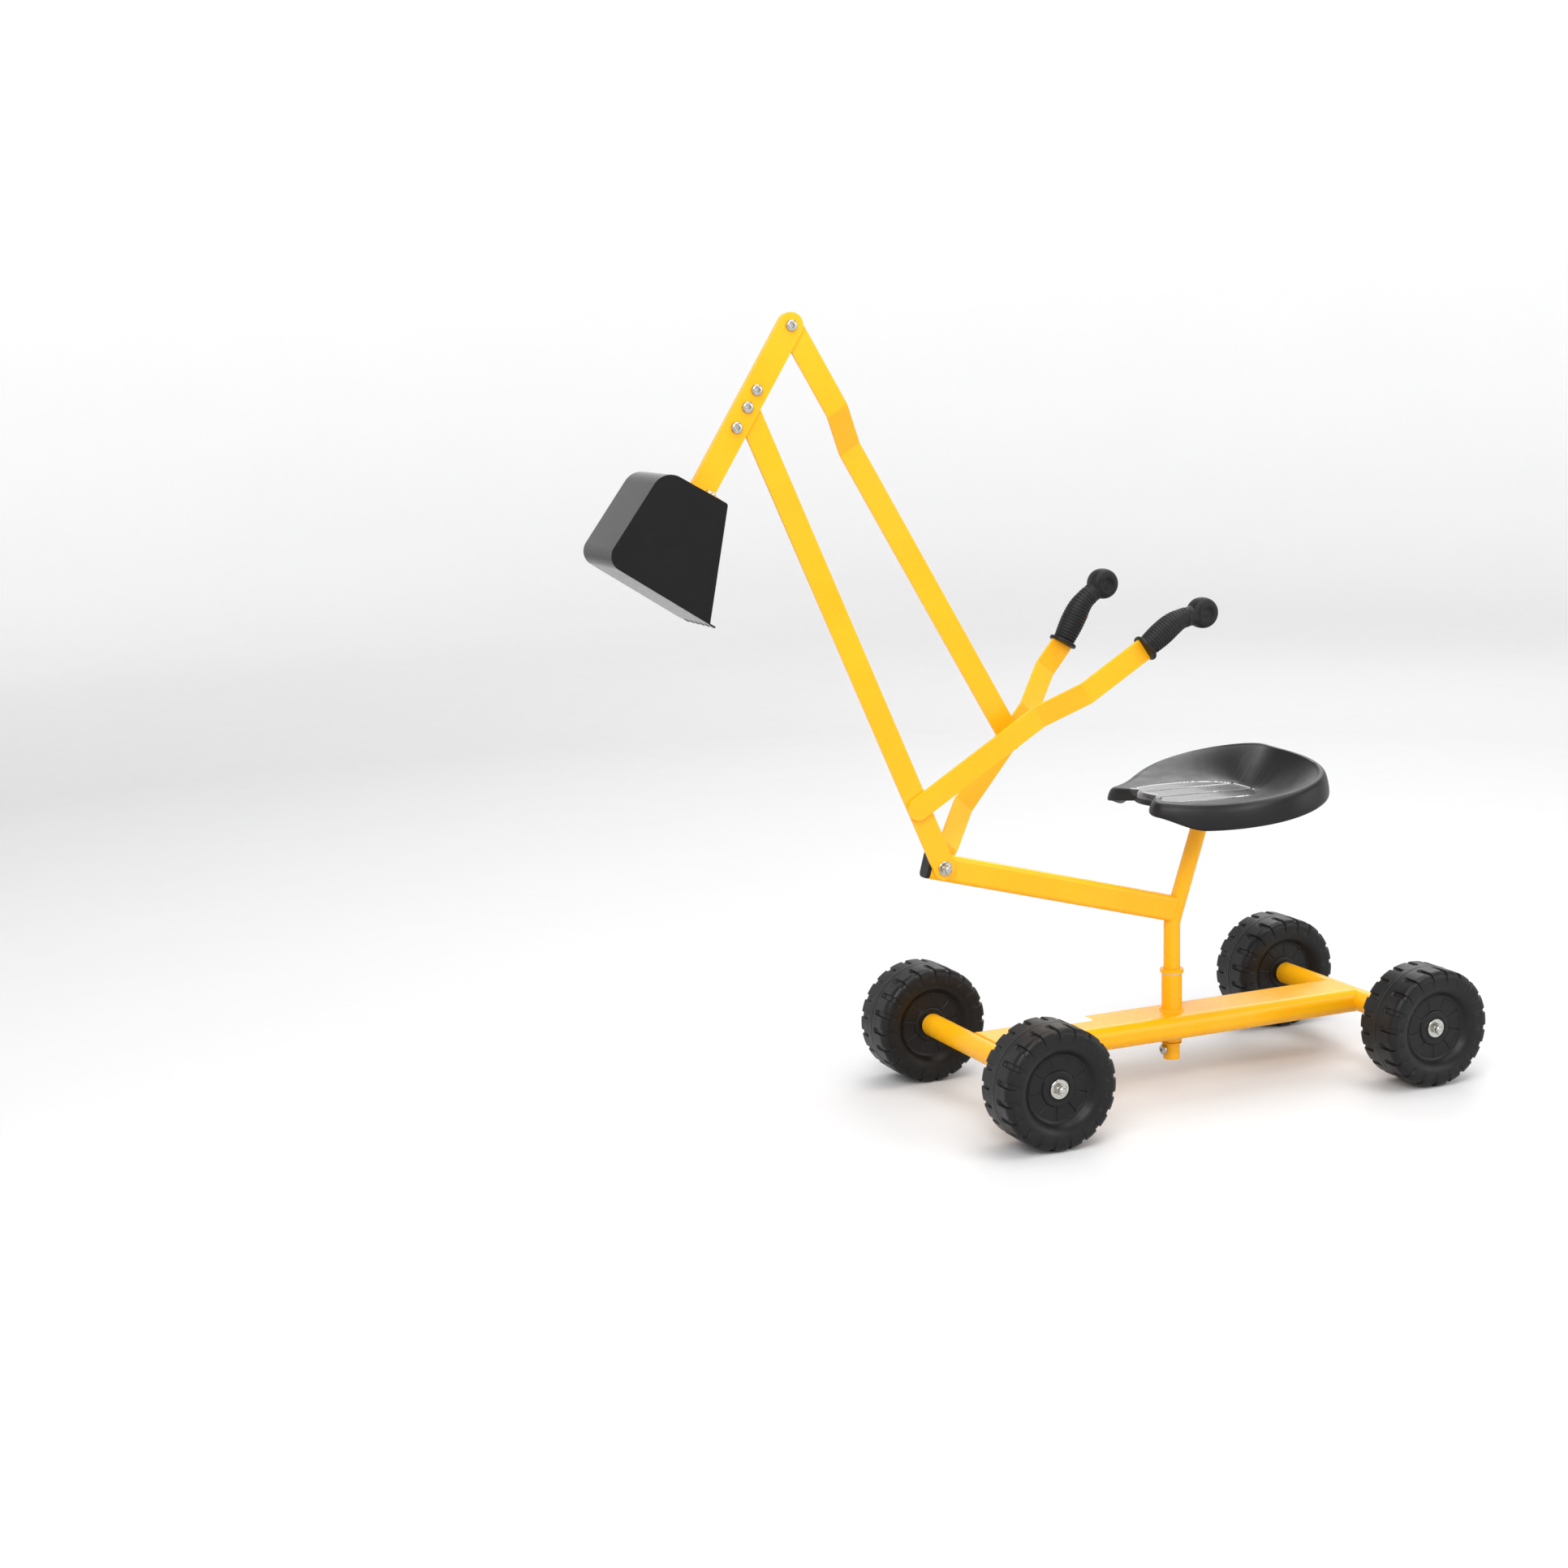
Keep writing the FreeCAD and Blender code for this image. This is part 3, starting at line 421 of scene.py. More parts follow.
def lock_nut(node, body, axis):
    """Lock nuts: chamfered hexagons with rolled collars. axis points away from the joint, and
    the two nuts of an axle (axis None) point away from the middle."""
    bm = bmesh.new()
    for points in islands(node):
        painted_light_outwards = axis or WORLD_Y * math.copysign(1, points[0].y)
        base, top = span_along(points, painted_light_outwards)
        tall = (top - base).length
        hexagon = COLLAR_START * tall
        rings = [ring(BOLT_R, 0), ring(NUT_FLAT, 0), hex_ring(NUT_FLAT, 0.6 * MM),
                 hex_ring(NUT_FLAT, hexagon - 0.6 * MM), ring(NUT_FLAT, hexagon),
                 ring(COLLAR_R, hexagon + 0.1 * MM), ring(COLLAR_R, tall - 1.1 * MM),
                 ring(COLLAR_R - 0.4 * MM, tall - 0.3 * MM), ring(COLLAR_R - 1.0 * MM, tall),
                 ring(BOLT_R, tall - 0.2 * MM)]
        stack_rings(bm, rings + [rings[0]], frame_matrix(base, painted_light_outwards))
    bmesh.ops.remove_doubles(bm, verts=bm.verts, dist=1e-6)
    add_piece(node + "_detail", bm, ZINC, body, [node], 28)


def flat_washers(node, body, axis):
    """Stamped washers: one edge rolled over by the punch, the other nearly square."""
    bm = bmesh.new()
    for points in islands(node):
        base, top = span_along(points, axis)
        tall = (top - base).length
        middle = (base + top) / 2
        across = max((p - middle - axis * (p - middle).dot(axis)).length for p in points)
        section = [(WASHER_BORE, 0.15 * MM), (WASHER_BORE + 0.15 * MM, 0),
                   (across - 0.3 * MM, 0), (across, 0.3 * MM),
                   (across, tall - 0.5 * MM), (across - 0.5 * MM, tall),
                   (WASHER_BORE + 0.35 * MM, tall), (WASHER_BORE, tall - 0.35 * MM)]
        rings = [ring(r, z, 64) for r, z in section]
        stack_rings(bm, rings + [rings[0]], frame_matrix(base, axis))
    bmesh.ops.remove_doubles(bm, verts=bm.verts, dist=1e-6)
    add_piece(node + "_detail", bm, ZINC, body, [node])


def threaded_rod(node, body):
    """Axle rod: plain in the middle, threaded where the lock nuts sit."""
    low, high = span_along(islands(node)[0], WORLD_Y)
    half = (high - low).length / 2
    bm = bmesh.new()
    end = thread_rings(half - AXLE_THREAD, half)
    rings = mirrored(reversed(end)) + end
    stack_rings(bm, rings, frame_matrix((low + high) / 2, WORLD_Y), cap_first=True, cap_last=True)
    add_piece(node + "_detail", bm, ZINC, body, [node])


# ---------------------------------------------------------------- wheels

WHEEL_R, WHEEL_HALF = 75 * MM, 34.5 * MM
TREAD_R = WHEEL_R - 0.3 * MM
TREAD_START, TREAD_END, TREAD_STEP = 2.4 * MM, 25 * MM, 1.6 * MM
SHOULDER_R, SHOULDER_STEPS = 9.0 * MM, 9
SIDE_WALL = ((63.6, 34.5), (61.6, 34.45), (58, 34.3), (54.5, 33.9), (51.5, 33.0), (49, 31.6),
             (46.8, 29.8), (45, 27.8), (43.4, 25.8), (42.0, 24.2), (40.4, 23.1), (38.9, 22.8))
HUB_FACE = ((38.5, 22.2), (36.5, 22.1), (30, 22.1), (24, 22.1), (22.4, 22.2), (21.9, 23.4),
            (21.2, 24.0), (19.5, 24.2), (15, 24.2), (14.6, 23.7), (13.8, 23.7), (13.4, 24.2),
            (8.4, 24.2), (8.05, 23.9), (8.05, 20))
LUGS, STEPS_PER_LUG = 20, 24
GROOVE_STEPS, GROOVE_DEPTH, GROOVE_START, GROOVE_END = 3, 2.6 * MM, 9.0 * MM, 47.0 * MM
SPOKE_CUTS, SPOKE_DEPTH, SPOKE_INNER, SPOKE_OUTER = 9, 0.9 * MM, 23 * MM, 38.6 * MM


def wheel_section():
    """Half section from the middle of the tread out to the bore: (radius, y, run length)."""
    points = [(WHEEL_R, 0.0), (WHEEL_R, 0.35 * MM), (TREAD_R, 0.8 * MM)]
    y = TREAD_START
    while y < TREAD_END:
        points.append((TREAD_R, y))
        y += TREAD_STEP
    for i in range(SHOULDER_STEPS + 1):
        a = math.pi / 2 * i / SHOULDER_STEPS
        points.append((TREAD_R - SHOULDER_R * (1 - math.cos(a)),
                       WHEEL_HALF - SHOULDER_R + SHOULDER_R * math.sin(a)))
    points += [(radius * MM, y * MM) for radius, y in SIDE_WALL + HUB_FACE]
    run, length = [], 0.0
    for i, point in enumerate(points):
        if i:
            length += math.dist(point, points[i - 1])
        run.append((*point, length))
    return run


def tread_cut(step, run, side):
    """Depth of the tongue-shaped grooves, which wrap from the tread on to the shoulder. run is
    the distance along the section from the middle of the tread, and side is 1 or -1."""
    offset = 0 if side > 0 else STEPS_PER_LUG // 2
    across = (step + offset) % STEPS_PER_LUG
    across = min(across, STEPS_PER_LUG - across)
    wide = across * TAU * WHEEL_R / (LUGS * STEPS_PER_LUG)
    reach = (GROOVE_STEPS + 0.5) * TAU * WHEEL_R / (LUGS * STEPS_PER_LUG)
    beyond = max(GROOVE_START + reach - run, run - (GROOVE_END - reach), 0.0)
    distance = math.hypot(wide, beyond)
    return GROOVE_DEPTH * smoothstep(reach + 0.45 * MM, reach - 0.45 * MM, distance)


def make_wheel_mesh():
    """One wheel round the Y axis at the origin: treaded tyre, dished sides and ribbed hub."""
    half = wheel_section()
    count = LUGS * STEPS_PER_LUG
    rings = []
    section = ([(r, -y, run, -1) for r, y, run in reversed(half[1:])]
               + [(r, y, run, 1) for r, y, run in half])
    for radius, y, run, side in section:
        points = []
        for i in range(count):
            a = TAU * i / count
            r, height = radius, y
            cut = tread_cut(i, run, side)
            if cut > 0:
                lean = smoothstep(28 * MM, 42 * MM, run) * math.pi / 2
                r -= cut * math.cos(lean)
                height -= side * cut * math.sin(lean) * 0.5
            if SPOKE_INNER < radius < SPOKE_OUTER:
                spoke = (i * SPOKE_CUTS / count) % 1.0
                away = min(spoke, 1 - spoke) * TAU * radius / SPOKE_CUTS
                height -= side * SPOKE_DEPTH * smoothstep(1.1 * MM, 0.5 * MM, away)
            points.append((r * math.cos(a), r * math.sin(a), height))
        rings.append(points)
    bm = bmesh.new()
    stack_rings(bm, rings + [rings[0]], Matrix.Rotation(-math.pi / 2, 4, "X"))
    bmesh.ops.remove_doubles(bm, verts=bm.verts, dist=1e-6)
    bmesh.ops.recalc_face_normals(bm, faces=bm.faces)
    return bm


def make_nylon(node):
    """A plain bush or washer keeps its CAD mesh and takes the nylon."""
    nodes[node].data.materials.clear()
    nodes[node].data.materials.append(NYLON)


def make_wheels():
    """Four wheels, each rolled to a position of its own."""
    pattern = make_wheel_mesh()
    for number, name in enumerate(("front_left", "front_right", "rear_left", "rear_right")):
        node = "wheel_" + name
        bm = pattern.copy()
        centre = joints["roll_" + name]
        side = 1 if centre.y > 0 else -1
        rolled = 0.11 + 0.37 * number
        place = (Matrix.Translation(centre) @ Matrix.Rotation(rolled, 4, "Y")
                 @ Matrix.Diagonal((1, side, 1, 1)))
        bmesh.ops.transform(bm, matrix=place, verts=bm.verts)
        add_piece(node + "_moulding", bm, WHEEL, node, [node], 50)
        make_nylon("hub_bush_" + name)
    pattern.free()


# ---------------------------------------------------------------- seat

SEAT_CENTRE = SWIVEL + Vector((-54.8, -0.6, 0)) * MM
SEAT_YAW = math.radians(-4.4)
SEAT_FLOOR, SEAT_SKIN = 370.4 * MM, 3.4 * MM
RIM_R, RIM_OVAL, RIM_TAPER = 126.5 * MM, 0.133, 0.150
RIM_HEIGHT, RIM_SLOPE, RIM_SADDLE, RIM_CURL = 389.6, 23.9, 7.2, 1.7
RIM_DEPTH, LOBE_SHALLOWER, REAR_SHALLOWER = 31, 15, 4
NOTCH_OUTER, NOTCH_INNER, NOTCH_DEPTH = math.radians(32), math.radians(14), 40 * MM
NOTCH_CREST, NOTCH_FLANGE = 374.5 * MM, 14 * MM
LOBE_OUTER, LOBE_INNER = math.radians(62), math.radians(24)
PANEL_MIDDLE, PANEL_LENGTH, PANEL_WIDTH, PANEL_POWER = 22 * MM, 76 * MM, 65 * MM, 2.6
PANEL_DROP, SLAT_GROOVE = 0.8, 1.4
SLAT_WIDTH, SLAT_START = 42.0 * MM, 13.0 * MM
SHARE_STEPS, SHARE_LAST = 200, 186
TOP_REACH, UNDERSIDE_REACH = 0.975, 0.955
# The rolled edge: millimetres outwards from the crest, and share of the edge's depth down.
RIM_EDGE = ((-2.4, 0.015), (0.0, 0.0), (2.4, 0.02), (4.6, 0.08), (6.4, 0.18), (7.8, 0.32),
            (9.0, 0.50), (9.9, 0.70), (10.4, 0.88), (10.1, 0.97), (9.0, 1.0), (7.8, 0.95),
            (6.8, 0.78), (5.4, 0.55), (3.2, 0.33), (0.2, 0.24))


def angle_off_front(angle):
    """The same angle, from -pi to pi."""
    return (angle + math.pi) % TAU - math.pi


def notch_at(angle):
    """1 in the middle of the front notch, 0 outside it."""
    return smoothstep(NOTCH_OUTER, NOTCH_INNER, abs(angle_off_front(angle)))


def rim_point(angle):
    """The crest of the rolled edge in the seat's own frame: (forward, left, height)."""
    radius = RIM_R * (1 - RIM_OVAL * math.cos(2 * angle) + RIM_TAPER * math.cos(3 * angle))
    height = (RIM_HEIGHT - RIM_SLOPE * math.cos(angle) + RIM_SADDLE * math.cos(2 * angle)
              + RIM_CURL * math.cos(3 * angle)) * MM
    notch = notch_at(angle)
    radius -= NOTCH_DEPTH * notch
    height += (NOTCH_CREST - height) * notch
    return Vector((radius * math.cos(angle), radius * math.sin(angle), height))


def panel_reach(forward, left):
    """Under 1 on the flat slatted floor, an oval from the notch to past the middle."""
    return (abs((forward - PANEL_MIDDLE) / PANEL_LENGTH) ** PANEL_POWER
            + abs(left / PANEL_WIDTH) ** PANEL_POWER)


def panel_share(crest):
    """How far out to this point of the crest the flat floor reaches, from 0 to 1."""
    shares = [i / SHARE_STEPS for i in range(1, SHARE_LAST + 1)]
    return max((s for s in shares if panel_reach(crest.x * s, crest.y * s) < 1), default=0.5)


def seat_lift(part, share):
    """0 on the floor, 1 at the crest: a hollow that steepens and then rolls over."""
    t = max((part - share) / (1 - share), 0.0)
    return 0.55 * smoothstep(0, 1, t) + 0.45 * min(t, 1.0) ** 1.5


def seat_top(part, crest, share):
    """Height of the sitting surface, part of the way (0 to 1) out to a point of the crest."""
    height = SEAT_FLOOR + (crest.z - SEAT_FLOOR) * seat_lift(part, share)
    forward, left = crest.x * part, crest.y * part
    slat = abs((left - SLAT_START) / SLAT_WIDTH % 1.0 - 0.5) * SLAT_WIDTH
    groove = smoothstep(SLAT_WIDTH / 2 - 1.6 * MM, SLAT_WIDTH / 2 - 0.5 * MM, slat)
    panel = smoothstep(1.06, 0.98, panel_reach(forward, left))
    return height - panel * (PANEL_DROP + SLAT_GROOVE * groove) * MM


def seat_under(part, crest, share):
    """Height of the pan's underside at the same place."""
    return SEAT_FLOOR + (crest.z - SEAT_FLOOR) * seat_lift(part, share) - SEAT_SKIN


def edge_depth(angle):
    """How far the rolled edge hangs below its crest: least at the notch and the lobes' tips."""
    off_front = abs(angle_off_front(angle))
    depth = (RIM_DEPTH - LOBE_SHALLOWER * smoothstep(LOBE_OUTER, LOBE_INNER, off_front)
             - REAR_SHALLOWER * smoothstep(0, -1, math.cos(angle))) * MM
    return depth + (NOTCH_FLANGE - depth) * notch_at(angle)


def seat_world(point):
    """A point of the seat's own frame, in the part's."""
    return SEAT_CENTRE + Matrix.Rotation(SEAT_YAW, 3, "Z") @ point


def make_seat():
    """The pan: sitting surface, rolled edge and underside, in rings from the middle and back."""
    count, steps = 360, 60
    angles = [TAU * i / count for i in range(count)]
    crests = [rim_point(a) for a in angles]
    outward = []
    for i in range(count):
        along = crests[(i + 1) % count] - crests[i - 1]
        outward.append(Vector((along.y, -along.x, 0)).normalized())
    shares = [panel_share(c) for c in crests]
    rings = []
    for step in range(1, steps + 1):
        part = TOP_REACH * step / steps
        rings.append([seat_world(Vector((c.x * part, c.y * part, seat_top(part, c, share))))
                      for c, share in zip(crests, shares)])
    for out, down in RIM_EDGE:
        rings.append([seat_world(crest + normal * out * MM - WORLD_Z * (edge_depth(angle) * down))
                      for angle, crest, normal in zip(angles, crests, outward)])
    for step in range(steps, 0, -5):
        part = UNDERSIDE_REACH * step / steps
        rings.append([seat_world(Vector((c.x * part, c.y * part, seat_under(part, c, share))))
                      for c, share in zip(crests, shares)])
    bm = bmesh.new()
    made = stack_rings(bm, rings, Matrix.Identity(4))
    for ring_verts in (made[0], made[-1]):
        hub = bm.verts.new(sum((v.co for v in ring_verts), Vector()) / count)
        for i in range(count):
            bm.faces.new((ring_verts[i], ring_verts[(i + 1) % count], hub))
    turn_back = Matrix.Rotation(-SEAT_YAW, 3, "Z")
    for face in bm.faces:
        spot = turn_back @ (face.calc_center_median() - SEAT_CENTRE)
        on_top = spot.z > SEAT_FLOOR - SEAT_SKIN + 0.5 * MM
        face.material_index = int(on_top and panel_reach(spot.x, spot.y) < 1.02)
    add_piece("seat_moulding", bm, [SEAT, SEAT_PANEL], "upper_frame", ["seat_pan"],
              60)


# ---------------------------------------------------------------- grips

GRIP_STRAIGHT, GRIP_REST, GRIP_BEND, GRIP_ARC = 55.2 * MM, 37.4 * MM, 25.7, 14 * MM
GRIP_COLLAR = ((-1.6, 15.5), (-1.4, 17.0), (-0.6, 17.4), (1.6, 17.4), (2.5, 16.9), (2.8, 14.4))
RIBS, RIB_HEIGHT, RIBBED_START, RIBBED_LENGTH = 17, 0.75, 4.0, 66
BARREL_R, BARREL_SWELL, BARREL_TAPER = 12.6, 2.3, 1.0
NECK_R, NECK_FLARE, NECK_STEPS = 11.9, 0.8, 8
KNOB_R, KNOB_HALF, KNOB_DISC_R, KNOB_STEPS = 19.0, 13.2, 12.6, 8
# Each face of the knob from the middle out: radius, and how far below the face's rim, in mm.
KNOB_FACE = ((0.02, 1.6), (7.2, 1.6), (7.8, 1.0), (8.0, 0.0), (8.6, -0.1), (11.6, 0.0),
             (11.9, 0.7), (KNOB_DISC_R, 0.8))


def grip_stations():
    """(distance along the grip, radius) from the collar, over the ribs, to the neck."""
    stations = list(GRIP_COLLAR)
    samples = RIBS * 8
    for i in range(samples + 1):
        t = i / samples
        barrel = BARREL_R + BARREL_SWELL * math.sin(math.pi * min(t * 1.15, 1.0)) - BARREL_TAPER * t
        rib = RIB_HEIGHT * abs(math.sin(math.pi * RIBS * t)) ** 0.6
        stations.append((RIBBED_START + RIBBED_LENGTH * t, barrel + rib))
    neck = RIBBED_START + RIBBED_LENGTH
    left = (GRIP_STRAIGHT + GRIP_REST) / MM - neck
    for i in range(1, NECK_STEPS + 1):
        t = i / NECK_STEPS
        stations.append((neck + left * t, NECK_R + NECK_FLARE * t))
    return [(run * MM, radius * MM) for run, radius in stations]


def grip_centre(run, start, middle, first, second):
    """The grip's middle line: two straight runs joined by a curve."""
    if run < GRIP_STRAIGHT - GRIP_ARC:
        return start + first * run
    if run > GRIP_STRAIGHT + GRIP_ARC:
        return middle + second * (run - GRIP_STRAIGHT)
    entry = start + first * (GRIP_STRAIGHT - GRIP_ARC)
    leave = middle + second * GRIP_ARC
    t = (run - GRIP_STRAIGHT + GRIP_ARC) / (2 * GRIP_ARC)
    return entry * (1 - t) ** 2 + middle * (2 * t * (1 - t)) + leave * t ** 2


def knob_rings():
    """A flattened knob round its local Z axis, with a dished disc on each face."""
    section = [(radius, KNOB_HALF - below) for radius, below in KNOB_FACE]
    for i in range(KNOB_STEPS):
        a = math.pi / 2 * i / KNOB_STEPS
        section.append((KNOB_DISC_R + (KNOB_R - KNOB_DISC_R) * math.sin(a),
                        section[len(KNOB_FACE) - 1][1] * math.cos(a) ** 0.8))
    full = section + [(KNOB_R, 0.0)] + [(radius, -y) for radius, y in reversed(section)]
    return [ring(radius * MM, y * MM, 56) for radius, y in full]


def make_grip(name, body, start, angle):
    """Ribbed rubber grip with a collar below and a round knob on top."""
    first, second = heading(angle), heading(angle + GRIP_BEND)
    middle = start + first * GRIP_STRAIGHT
    count = 40
    rings = []
    for run, radius in grip_stations():
        turn = smoothstep(GRIP_STRAIGHT - GRIP_ARC, GRIP_STRAIGHT + GRIP_ARC, run)
        side = heading(angle + GRIP_BEND * turn).cross(WORLD_Y)
        centre = grip_centre(run, start, middle, first, second)
        rings.append([centre + side * (radius * math.cos(TAU * k / count))
                      + WORLD_Y * (radius * math.sin(TAU * k / count)) for k in range(count)])
    bm = bmesh.new()
    stack_rings(bm, rings, Matrix.Identity(4), cap_first=True, cap_last=True)
    stack_rings(bm, knob_rings(), frame_matrix(middle + second * GRIP_REST, WORLD_Y),
                cap_first=True, cap_last=True)
    add_piece(name + "_moulding", bm, RUBBER, body, [name], 50)


# Angles of the bars' upper runs, and of the grips from them, in degrees.
LEVER_ANGLE, LEVER_LENGTH, LEFT_LEAN = 149.5, 357.5 * MM, 4.9
CONTROL_ANGLE, CONTROL_LENGTH, RIGHT_LEAN = 130.0, 328 * MM, 10.7
LEVER_START = SWIVEL + Vector((378, 47, 382.5)) * MM
CONTROL_START = Vector((PIVOT.x, -65 * MM, PIVOT.z))


def grips():
    """Each grip starts on its lever's bar and leans back from the bar's direction."""
    make_grip("left_grip", "boom", LEVER_START + heading(LEVER_ANGLE) * LEVER_LENGTH,
              LEVER_ANGLE - LEFT_LEAN)
    make_grip("right_grip", "control_lever",
              CONTROL_START + heading(CONTROL_ANGLE) * CONTROL_LENGTH,
              CONTROL_ANGLE - RIGHT_LEAN)


# ---------------------------------------------------------------- weld beads

RIPPLE, BEAD_POINTS = 2.3 * MM, 10


def bead(name, points, radius, body, closed=False):
    """A fillet weld laid in small overlapping ripples along a line of points."""
    path = [Vector(p) for p in points]
    if closed:
        path.append(path[0])
    lengths = [0.0]
    for a, b in zip(path, path[1:]):
        lengths.append(lengths[-1] + (b - a).length)
    total = lengths[-1]
    samples = max(12, int(total / (RIPPLE / 5)))
    rings = []
    for i in range(samples if closed else samples + 1):
        run = total * i / samples
        k = max(j for j in range(len(path) - 1) if lengths[j] <= run + 1e-12)
        t = (run - lengths[k]) / max(lengths[k + 1] - lengths[k], 1e-9)
        centre = path[k].lerp(path[k + 1], min(t, 1.0))
        here = (path[k + 1] - path[k]).normalized()
        ahead = (path[(k + 2) % (len(path) - 1) if closed else min(k + 2, len(path) - 1)]
                 - path[k + 1])
        direction = here if ahead.length < 1e-9 else here.lerp(ahead.normalized(), t * 0.5)
        side = direction.cross(WORLD_Z).normalized()
        above = side.cross(direction).normalized()
        swell = 0.86 + 0.16 * abs(math.sin(math.pi * run / RIPPLE))
        swell += 0.10 * noise.noise(centre * 240)
        if not closed:
            swell *= 0.35 + 0.65 * smoothstep(0, 3 * MM, min(run, total - run))
        turns = [TAU * n / BEAD_POINTS for n in range(BEAD_POINTS)]
        rings.append([centre + (side * math.cos(a) + above * math.sin(a)) * (radius * swell)
                      for a in turns])
    bm = bmesh.new()
    if closed:
        rings.append(rings[0])
    stack_rings(bm, rings, Matrix.Identity(4), cap_first=not closed, cap_last=not closed)
    if closed:
        bmesh.ops.remove_doubles(bm, verts=bm.verts, dist=1e-6)
    add_piece(name, bm, YELLOW, body, (), 60)


# ---------------------------------------------------------------- assembly of pieces

def formed_parts():
    """Painted bars, tubes and sheet, and the beam's plug: the CAD shapes with eased corners."""
    for node in ("base_rail", "front_axle_tube", "rear_axle_tube", "swivel_sleeve"):
        polished(node, "chassis", YELLOW, 0.6 * MM)
    for node in ("seat_post", "post_collar", "retaining_washer", "boom_beam", "seat_bracket"):
        polished(node, "upper_frame", YELLOW, 0.5 * MM)
    for node, body in (("boom_bar", "boom"), ("left_lever", "boom"), ("link_rod", "link_rod"),
                       ("control_lever", "control_lever"), ("dipper_channel", "dipper")):
        polished(node, body, YELLOW, 0.55 * MM)
    polished("bucket", "dipper", BLACK, 0.45 * MM)
    polished("beam_end_plug", "upper_frame", PLUG, 1.0 * MM)


BUCKET_PLATE_ANGLE = 29.8


def fasteners():
    for name in ("tip", "elbow"):
        button_bolt(name + "_bolt", "dipper", WORLD_Y)
        lock_nut(name + "_nut", "dipper", -WORLD_Y)
    button_bolt("stop_bolts", "dipper", WORLD_Y)
    lock_nut("stop_nuts", "dipper", -WORLD_Y)
    plate_up = heading(BUCKET_PLATE_ANGLE + 90)
    button_bolt("bucket_bolt", "dipper", plate_up)
    lock_nut("bucket_nut", "dipper", -plate_up)
    button_bolt("rod_bolt", "control_lever", WORLD_Y)
    lock_nut("rod_nut", "control_lever", -WORLD_Y)
    polished("rod_spacer", "control_lever", ZINC, 0.5 * MM)
    button_bolt("pivot_bolt", "upper_frame", -WORLD_Y)
    lock_nut("pivot_nut", "upper_frame", WORLD_Y)
    flat_washers("pivot_washers", "upper_frame", WORLD_Y)
    button_bolt("retaining_bolt", "upper_frame", WORLD_X)
    polished("seat_screws", "upper_frame", ZINC, 0.6 * MM)
    for end in ("front", "rear"):
        threaded_rod(end + "_axle_rod", "chassis")
        flat_washers(end + "_axle_washers", "chassis", WORLD_Y)
        lock_nut(end + "_axle_nuts", "chassis", None)


def nylon_parts():
    for node in ("front_tube_bushes", "rear_tube_bushes", "swivel_bushes", "thrust_washer"):
        make_nylon(node)


def welds():
    """Fillet welds where the painted tubes and bars join."""
    rail_low, rail_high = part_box("base_rail")
    sleeve_low, sleeve_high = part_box("swivel_sleeve")
    radius = (sleeve_high[0] - sleeve_low[0]) / 2
    for name, height in (("top", rail_high[2]), ("bottom", rail_low[2])):
        place = frame_matrix(Vector((SWIVEL.x, 0, height)), WORLD_Z)
        around = [place @ Vector(p) for p in ring(radius + 0.6 * MM, 0, 32)]
        bead(f"weld_sleeve_{name}", around, 2.4 * MM, "chassis", closed=True)
    for end, sign in (("front", -1), ("rear", 1)):
        low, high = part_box(end + "_axle_tube")
        middle = Vector(((low[0] + high[0]) / 2, 0, (low[2] + high[2]) / 2))
        tube_radius = (high[2] - low[2]) / 2
        half = (rail_high[1] - rail_low[1]) / 2
        rise = (rail_high[2] - rail_low[2]) / 2 * 0.88
        reach = tube_radius + 0.8 * MM
        back = sign * reach * math.cos(math.asin(min(rise / reach, 0.98)))
        for name, level in (("top", 1), ("bottom", -1)):
            points = [middle + Vector((back, share * half, level * rise))
                      for share in (-0.80, -0.4, 0.0, 0.4, 0.80)]
            bead(f"weld_{end}_{name}", points, 2.2 * MM, "chassis")


LABEL_LONG, LABEL_WIDE, LABEL_THICK = 42 * MM, 26 * MM, 0.25 * MM
LABEL_FORWARD, LABEL_RIGHT = 134 * MM, 17 * MM


def label():
    """A blank pale label on top of the rail, in front of the post, with rounded corners."""
    rail_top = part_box("base_rail")[1][2]
    centre = Vector((SWIVEL.x + LABEL_FORWARD, -LABEL_RIGHT, rail_top + LABEL_THICK * 0.6))
    bm = bmesh.new()
    bmesh.ops.create_grid(bm, x_segments=24, y_segments=14, size=0.5)
    for vertex in bm.verts:
        u, v = vertex.co.x * 2, vertex.co.y * 2
        corner = max(abs(u) - 0.93, 0) * max(abs(v) - 0.90, 0) * 30
        unevenness = 0.05 * MM * noise.noise(Vector((u * 3, v * 3, 0)))
        vertex.co = centre + Vector((u * (1 - corner) * LABEL_LONG / 2,
                                     v * (1 - corner) * LABEL_WIDE / 2, unevenness))
    bmesh.ops.solidify(bm, geom=bm.faces[:], thickness=LABEL_THICK)
    add_piece("blank_label", bm, LABEL, "chassis")


make_wheels()
make_seat()
formed_parts()
welds()
label()
fasteners()
nylon_parts()
grips()


# ---------------------------------------------------------------- floor, light and camera

def floor_material(flat, end):
    """Pale floor paint, painted lighter from the edge of the flat floor up the wall, where it also
    glows: painted light that brightens the wall.
    """
    s = Shader("pale_floor")
    distance = s.add("ShaderNodeVectorMath", {0: s.position}, operation="LENGTH").outputs["Value"]
    # Painted light: the colour grows lighter further out from the middle.
    painted_light_outwards = s.ramp(distance, 0.0, 1.0, flat * 0.6, end)
    tone = s.mix(painted_light_outwards, (0.68, 0.68, 0.685), (0.90, 0.90, 0.905))
    uneven = s.ramp(s.noise(3.0, 3), 0.0, 0.04, 0.3, 0.7)
    tone = s.mix(uneven, tone, (0.60, 0.60, 0.60))
    # The wall glows more the further out it lies: painted light, not a lamp.
    s.principled.inputs["Emission Color"].default_value = (1, 1, 1, 1)
    s.feed(s.principled.inputs["Emission Strength"], s.math("MULTIPLY", painted_light_outwards, 0.30))
    return s.finish(color=tone, rough=s.ramp(s.noise(12.0, 3), 0.55, 0.65), specular=0.2)


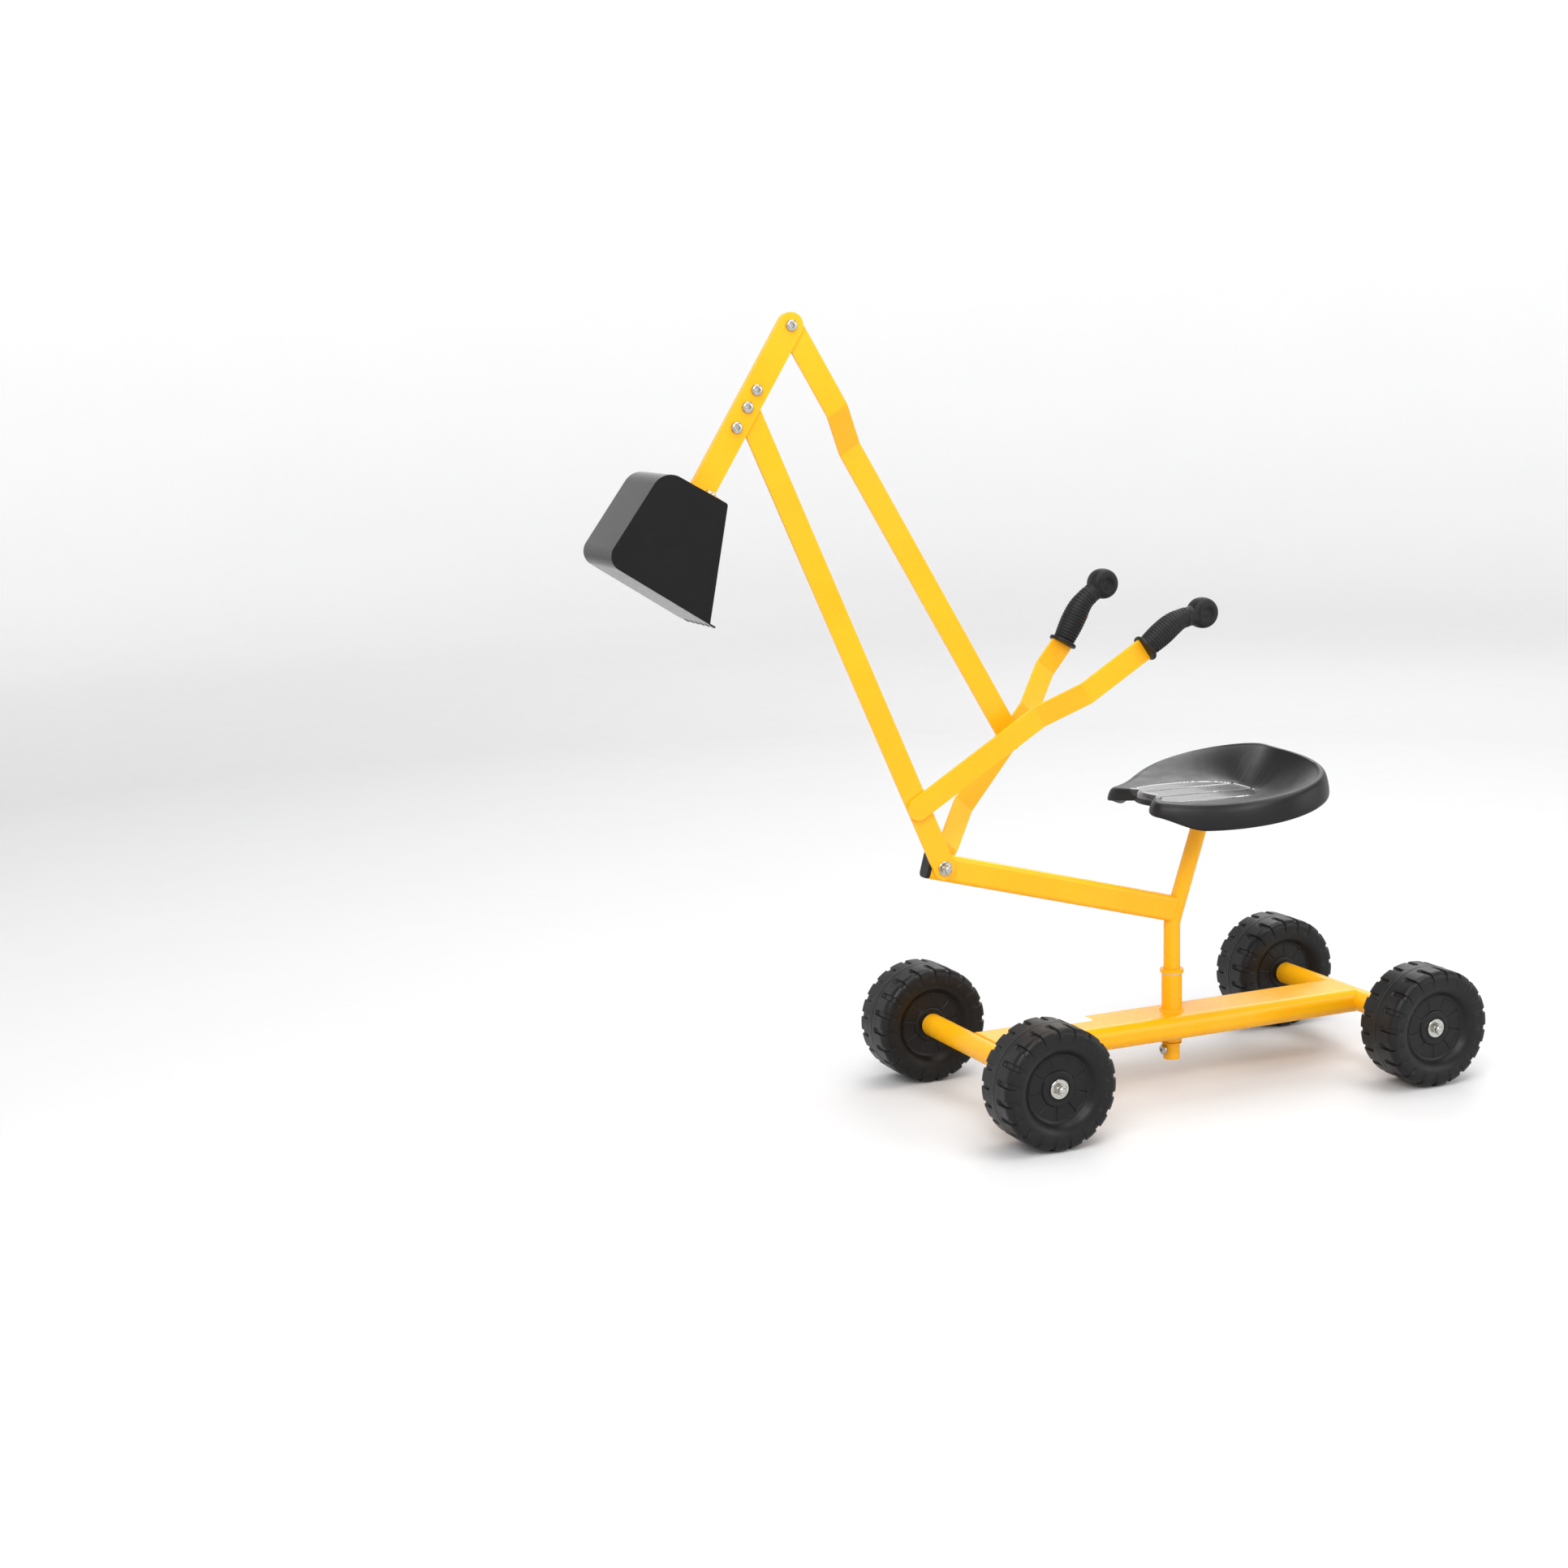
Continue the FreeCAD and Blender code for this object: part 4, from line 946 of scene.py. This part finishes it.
FLOOR_FLAT, FLOOR_SWEEP, WALL_HEIGHT, SWEEP_STEPS = 5.0, 2.5, 2.5, 16


def make_floor():
    """A flat floor that sweeps up into a wall all round, so that no horizon shows."""
    section = [(0.01, 0.0), (FLOOR_FLAT, 0.0)]
    for i in range(1, SWEEP_STEPS + 1):
        a = math.pi / 2 * i / SWEEP_STEPS
        section.append((FLOOR_FLAT + FLOOR_SWEEP * math.sin(a), FLOOR_SWEEP * (1 - math.cos(a))))
    section.append((FLOOR_FLAT + FLOOR_SWEEP, FLOOR_SWEEP + WALL_HEIGHT))
    bm = bmesh.new()
    stack_rings(bm, [ring(r, z - 0.2 * MM, 96) for r, z in section], Matrix.Identity(4),
                cap_first=True)
    bmesh.ops.reverse_faces(bm, faces=bm.faces)
    mesh = bpy.data.meshes.new("floor")
    bm.to_mesh(mesh)
    bm.free()
    mesh.materials.append(floor_material(FLOOR_FLAT, FLOOR_FLAT + FLOOR_SWEEP))
    mesh.shade_smooth()
    floor = bpy.data.objects.new("floor", mesh)
    bpy.context.scene.collection.objects.link(floor)


def area_light(name, place, target, size, watts):
    """A square lamp at place that faces target."""
    light = bpy.data.lights.new(name, "AREA")
    light.shape, light.size, light.energy = "SQUARE", size, watts
    obj = bpy.data.objects.new(name, light)
    obj.location = place
    obj.rotation_euler = (Vector(target) - Vector(place)).to_track_quat("-Z", "Y").to_euler()
    bpy.context.scene.collection.objects.link(obj)


def make_light():
    """A soft white studio: even surroundings and four lamps."""
    world = bpy.data.worlds.new("studio")
    world.use_nodes = True
    background = world.node_tree.nodes["Background"]
    background.inputs["Color"].default_value = (1, 1, 1, 1)
    background.inputs["Strength"].default_value = 0.40
    bpy.context.scene.world = world
    middle = (0.0, 0.0, 0.45)
    area_light("key", (2.2, 2.4, 3.2), middle, 2.2, 105)
    area_light("top", (-0.4, 0.2, 3.6), middle, 2.6, 84)
    area_light("fill", (-2.6, 2.6, 1.6), middle, 2.4, 34)
    area_light("back", (-2.4, -2.6, 2.8), middle, 2.4, 46)


CAMERA_PLACE = SWIVEL + Vector((1721.134, 2667.871, 952.138)) * MM
CAMERA_ANGLES = (156.0, 10.0745, -1.3806)
LENS, SENSOR_WIDTH, CLIP_END = 58.32, 36.0, 60


def make_camera():
    """The photographed view, from the front left of the digger and a little above it."""
    azimuth, elevation, roll = (math.radians(v) for v in CAMERA_ANGLES)
    back = Vector((math.sin(azimuth) * math.cos(elevation),
                   -math.cos(azimuth) * math.cos(elevation), math.sin(elevation)))
    right = WORLD_Z.cross(back).normalized()
    up = back.cross(right)
    tilted_right = right * math.cos(roll) + up * math.sin(roll)
    tilted_up = up * math.cos(roll) - right * math.sin(roll)
    data = bpy.data.cameras.new("camera")
    data.lens, data.sensor_width, data.clip_end = LENS, SENSOR_WIDTH, CLIP_END
    camera = bpy.data.objects.new("camera", data)
    turn = Matrix((tilted_right, tilted_up, back)).transposed().to_4x4()
    camera.matrix_world = Matrix.Translation(CAMERA_PLACE) @ turn
    bpy.context.scene.collection.objects.link(camera)
    bpy.context.scene.camera = camera


make_floor()
make_light()
make_camera()
bpy.context.scene.view_settings.view_transform = "Standard"
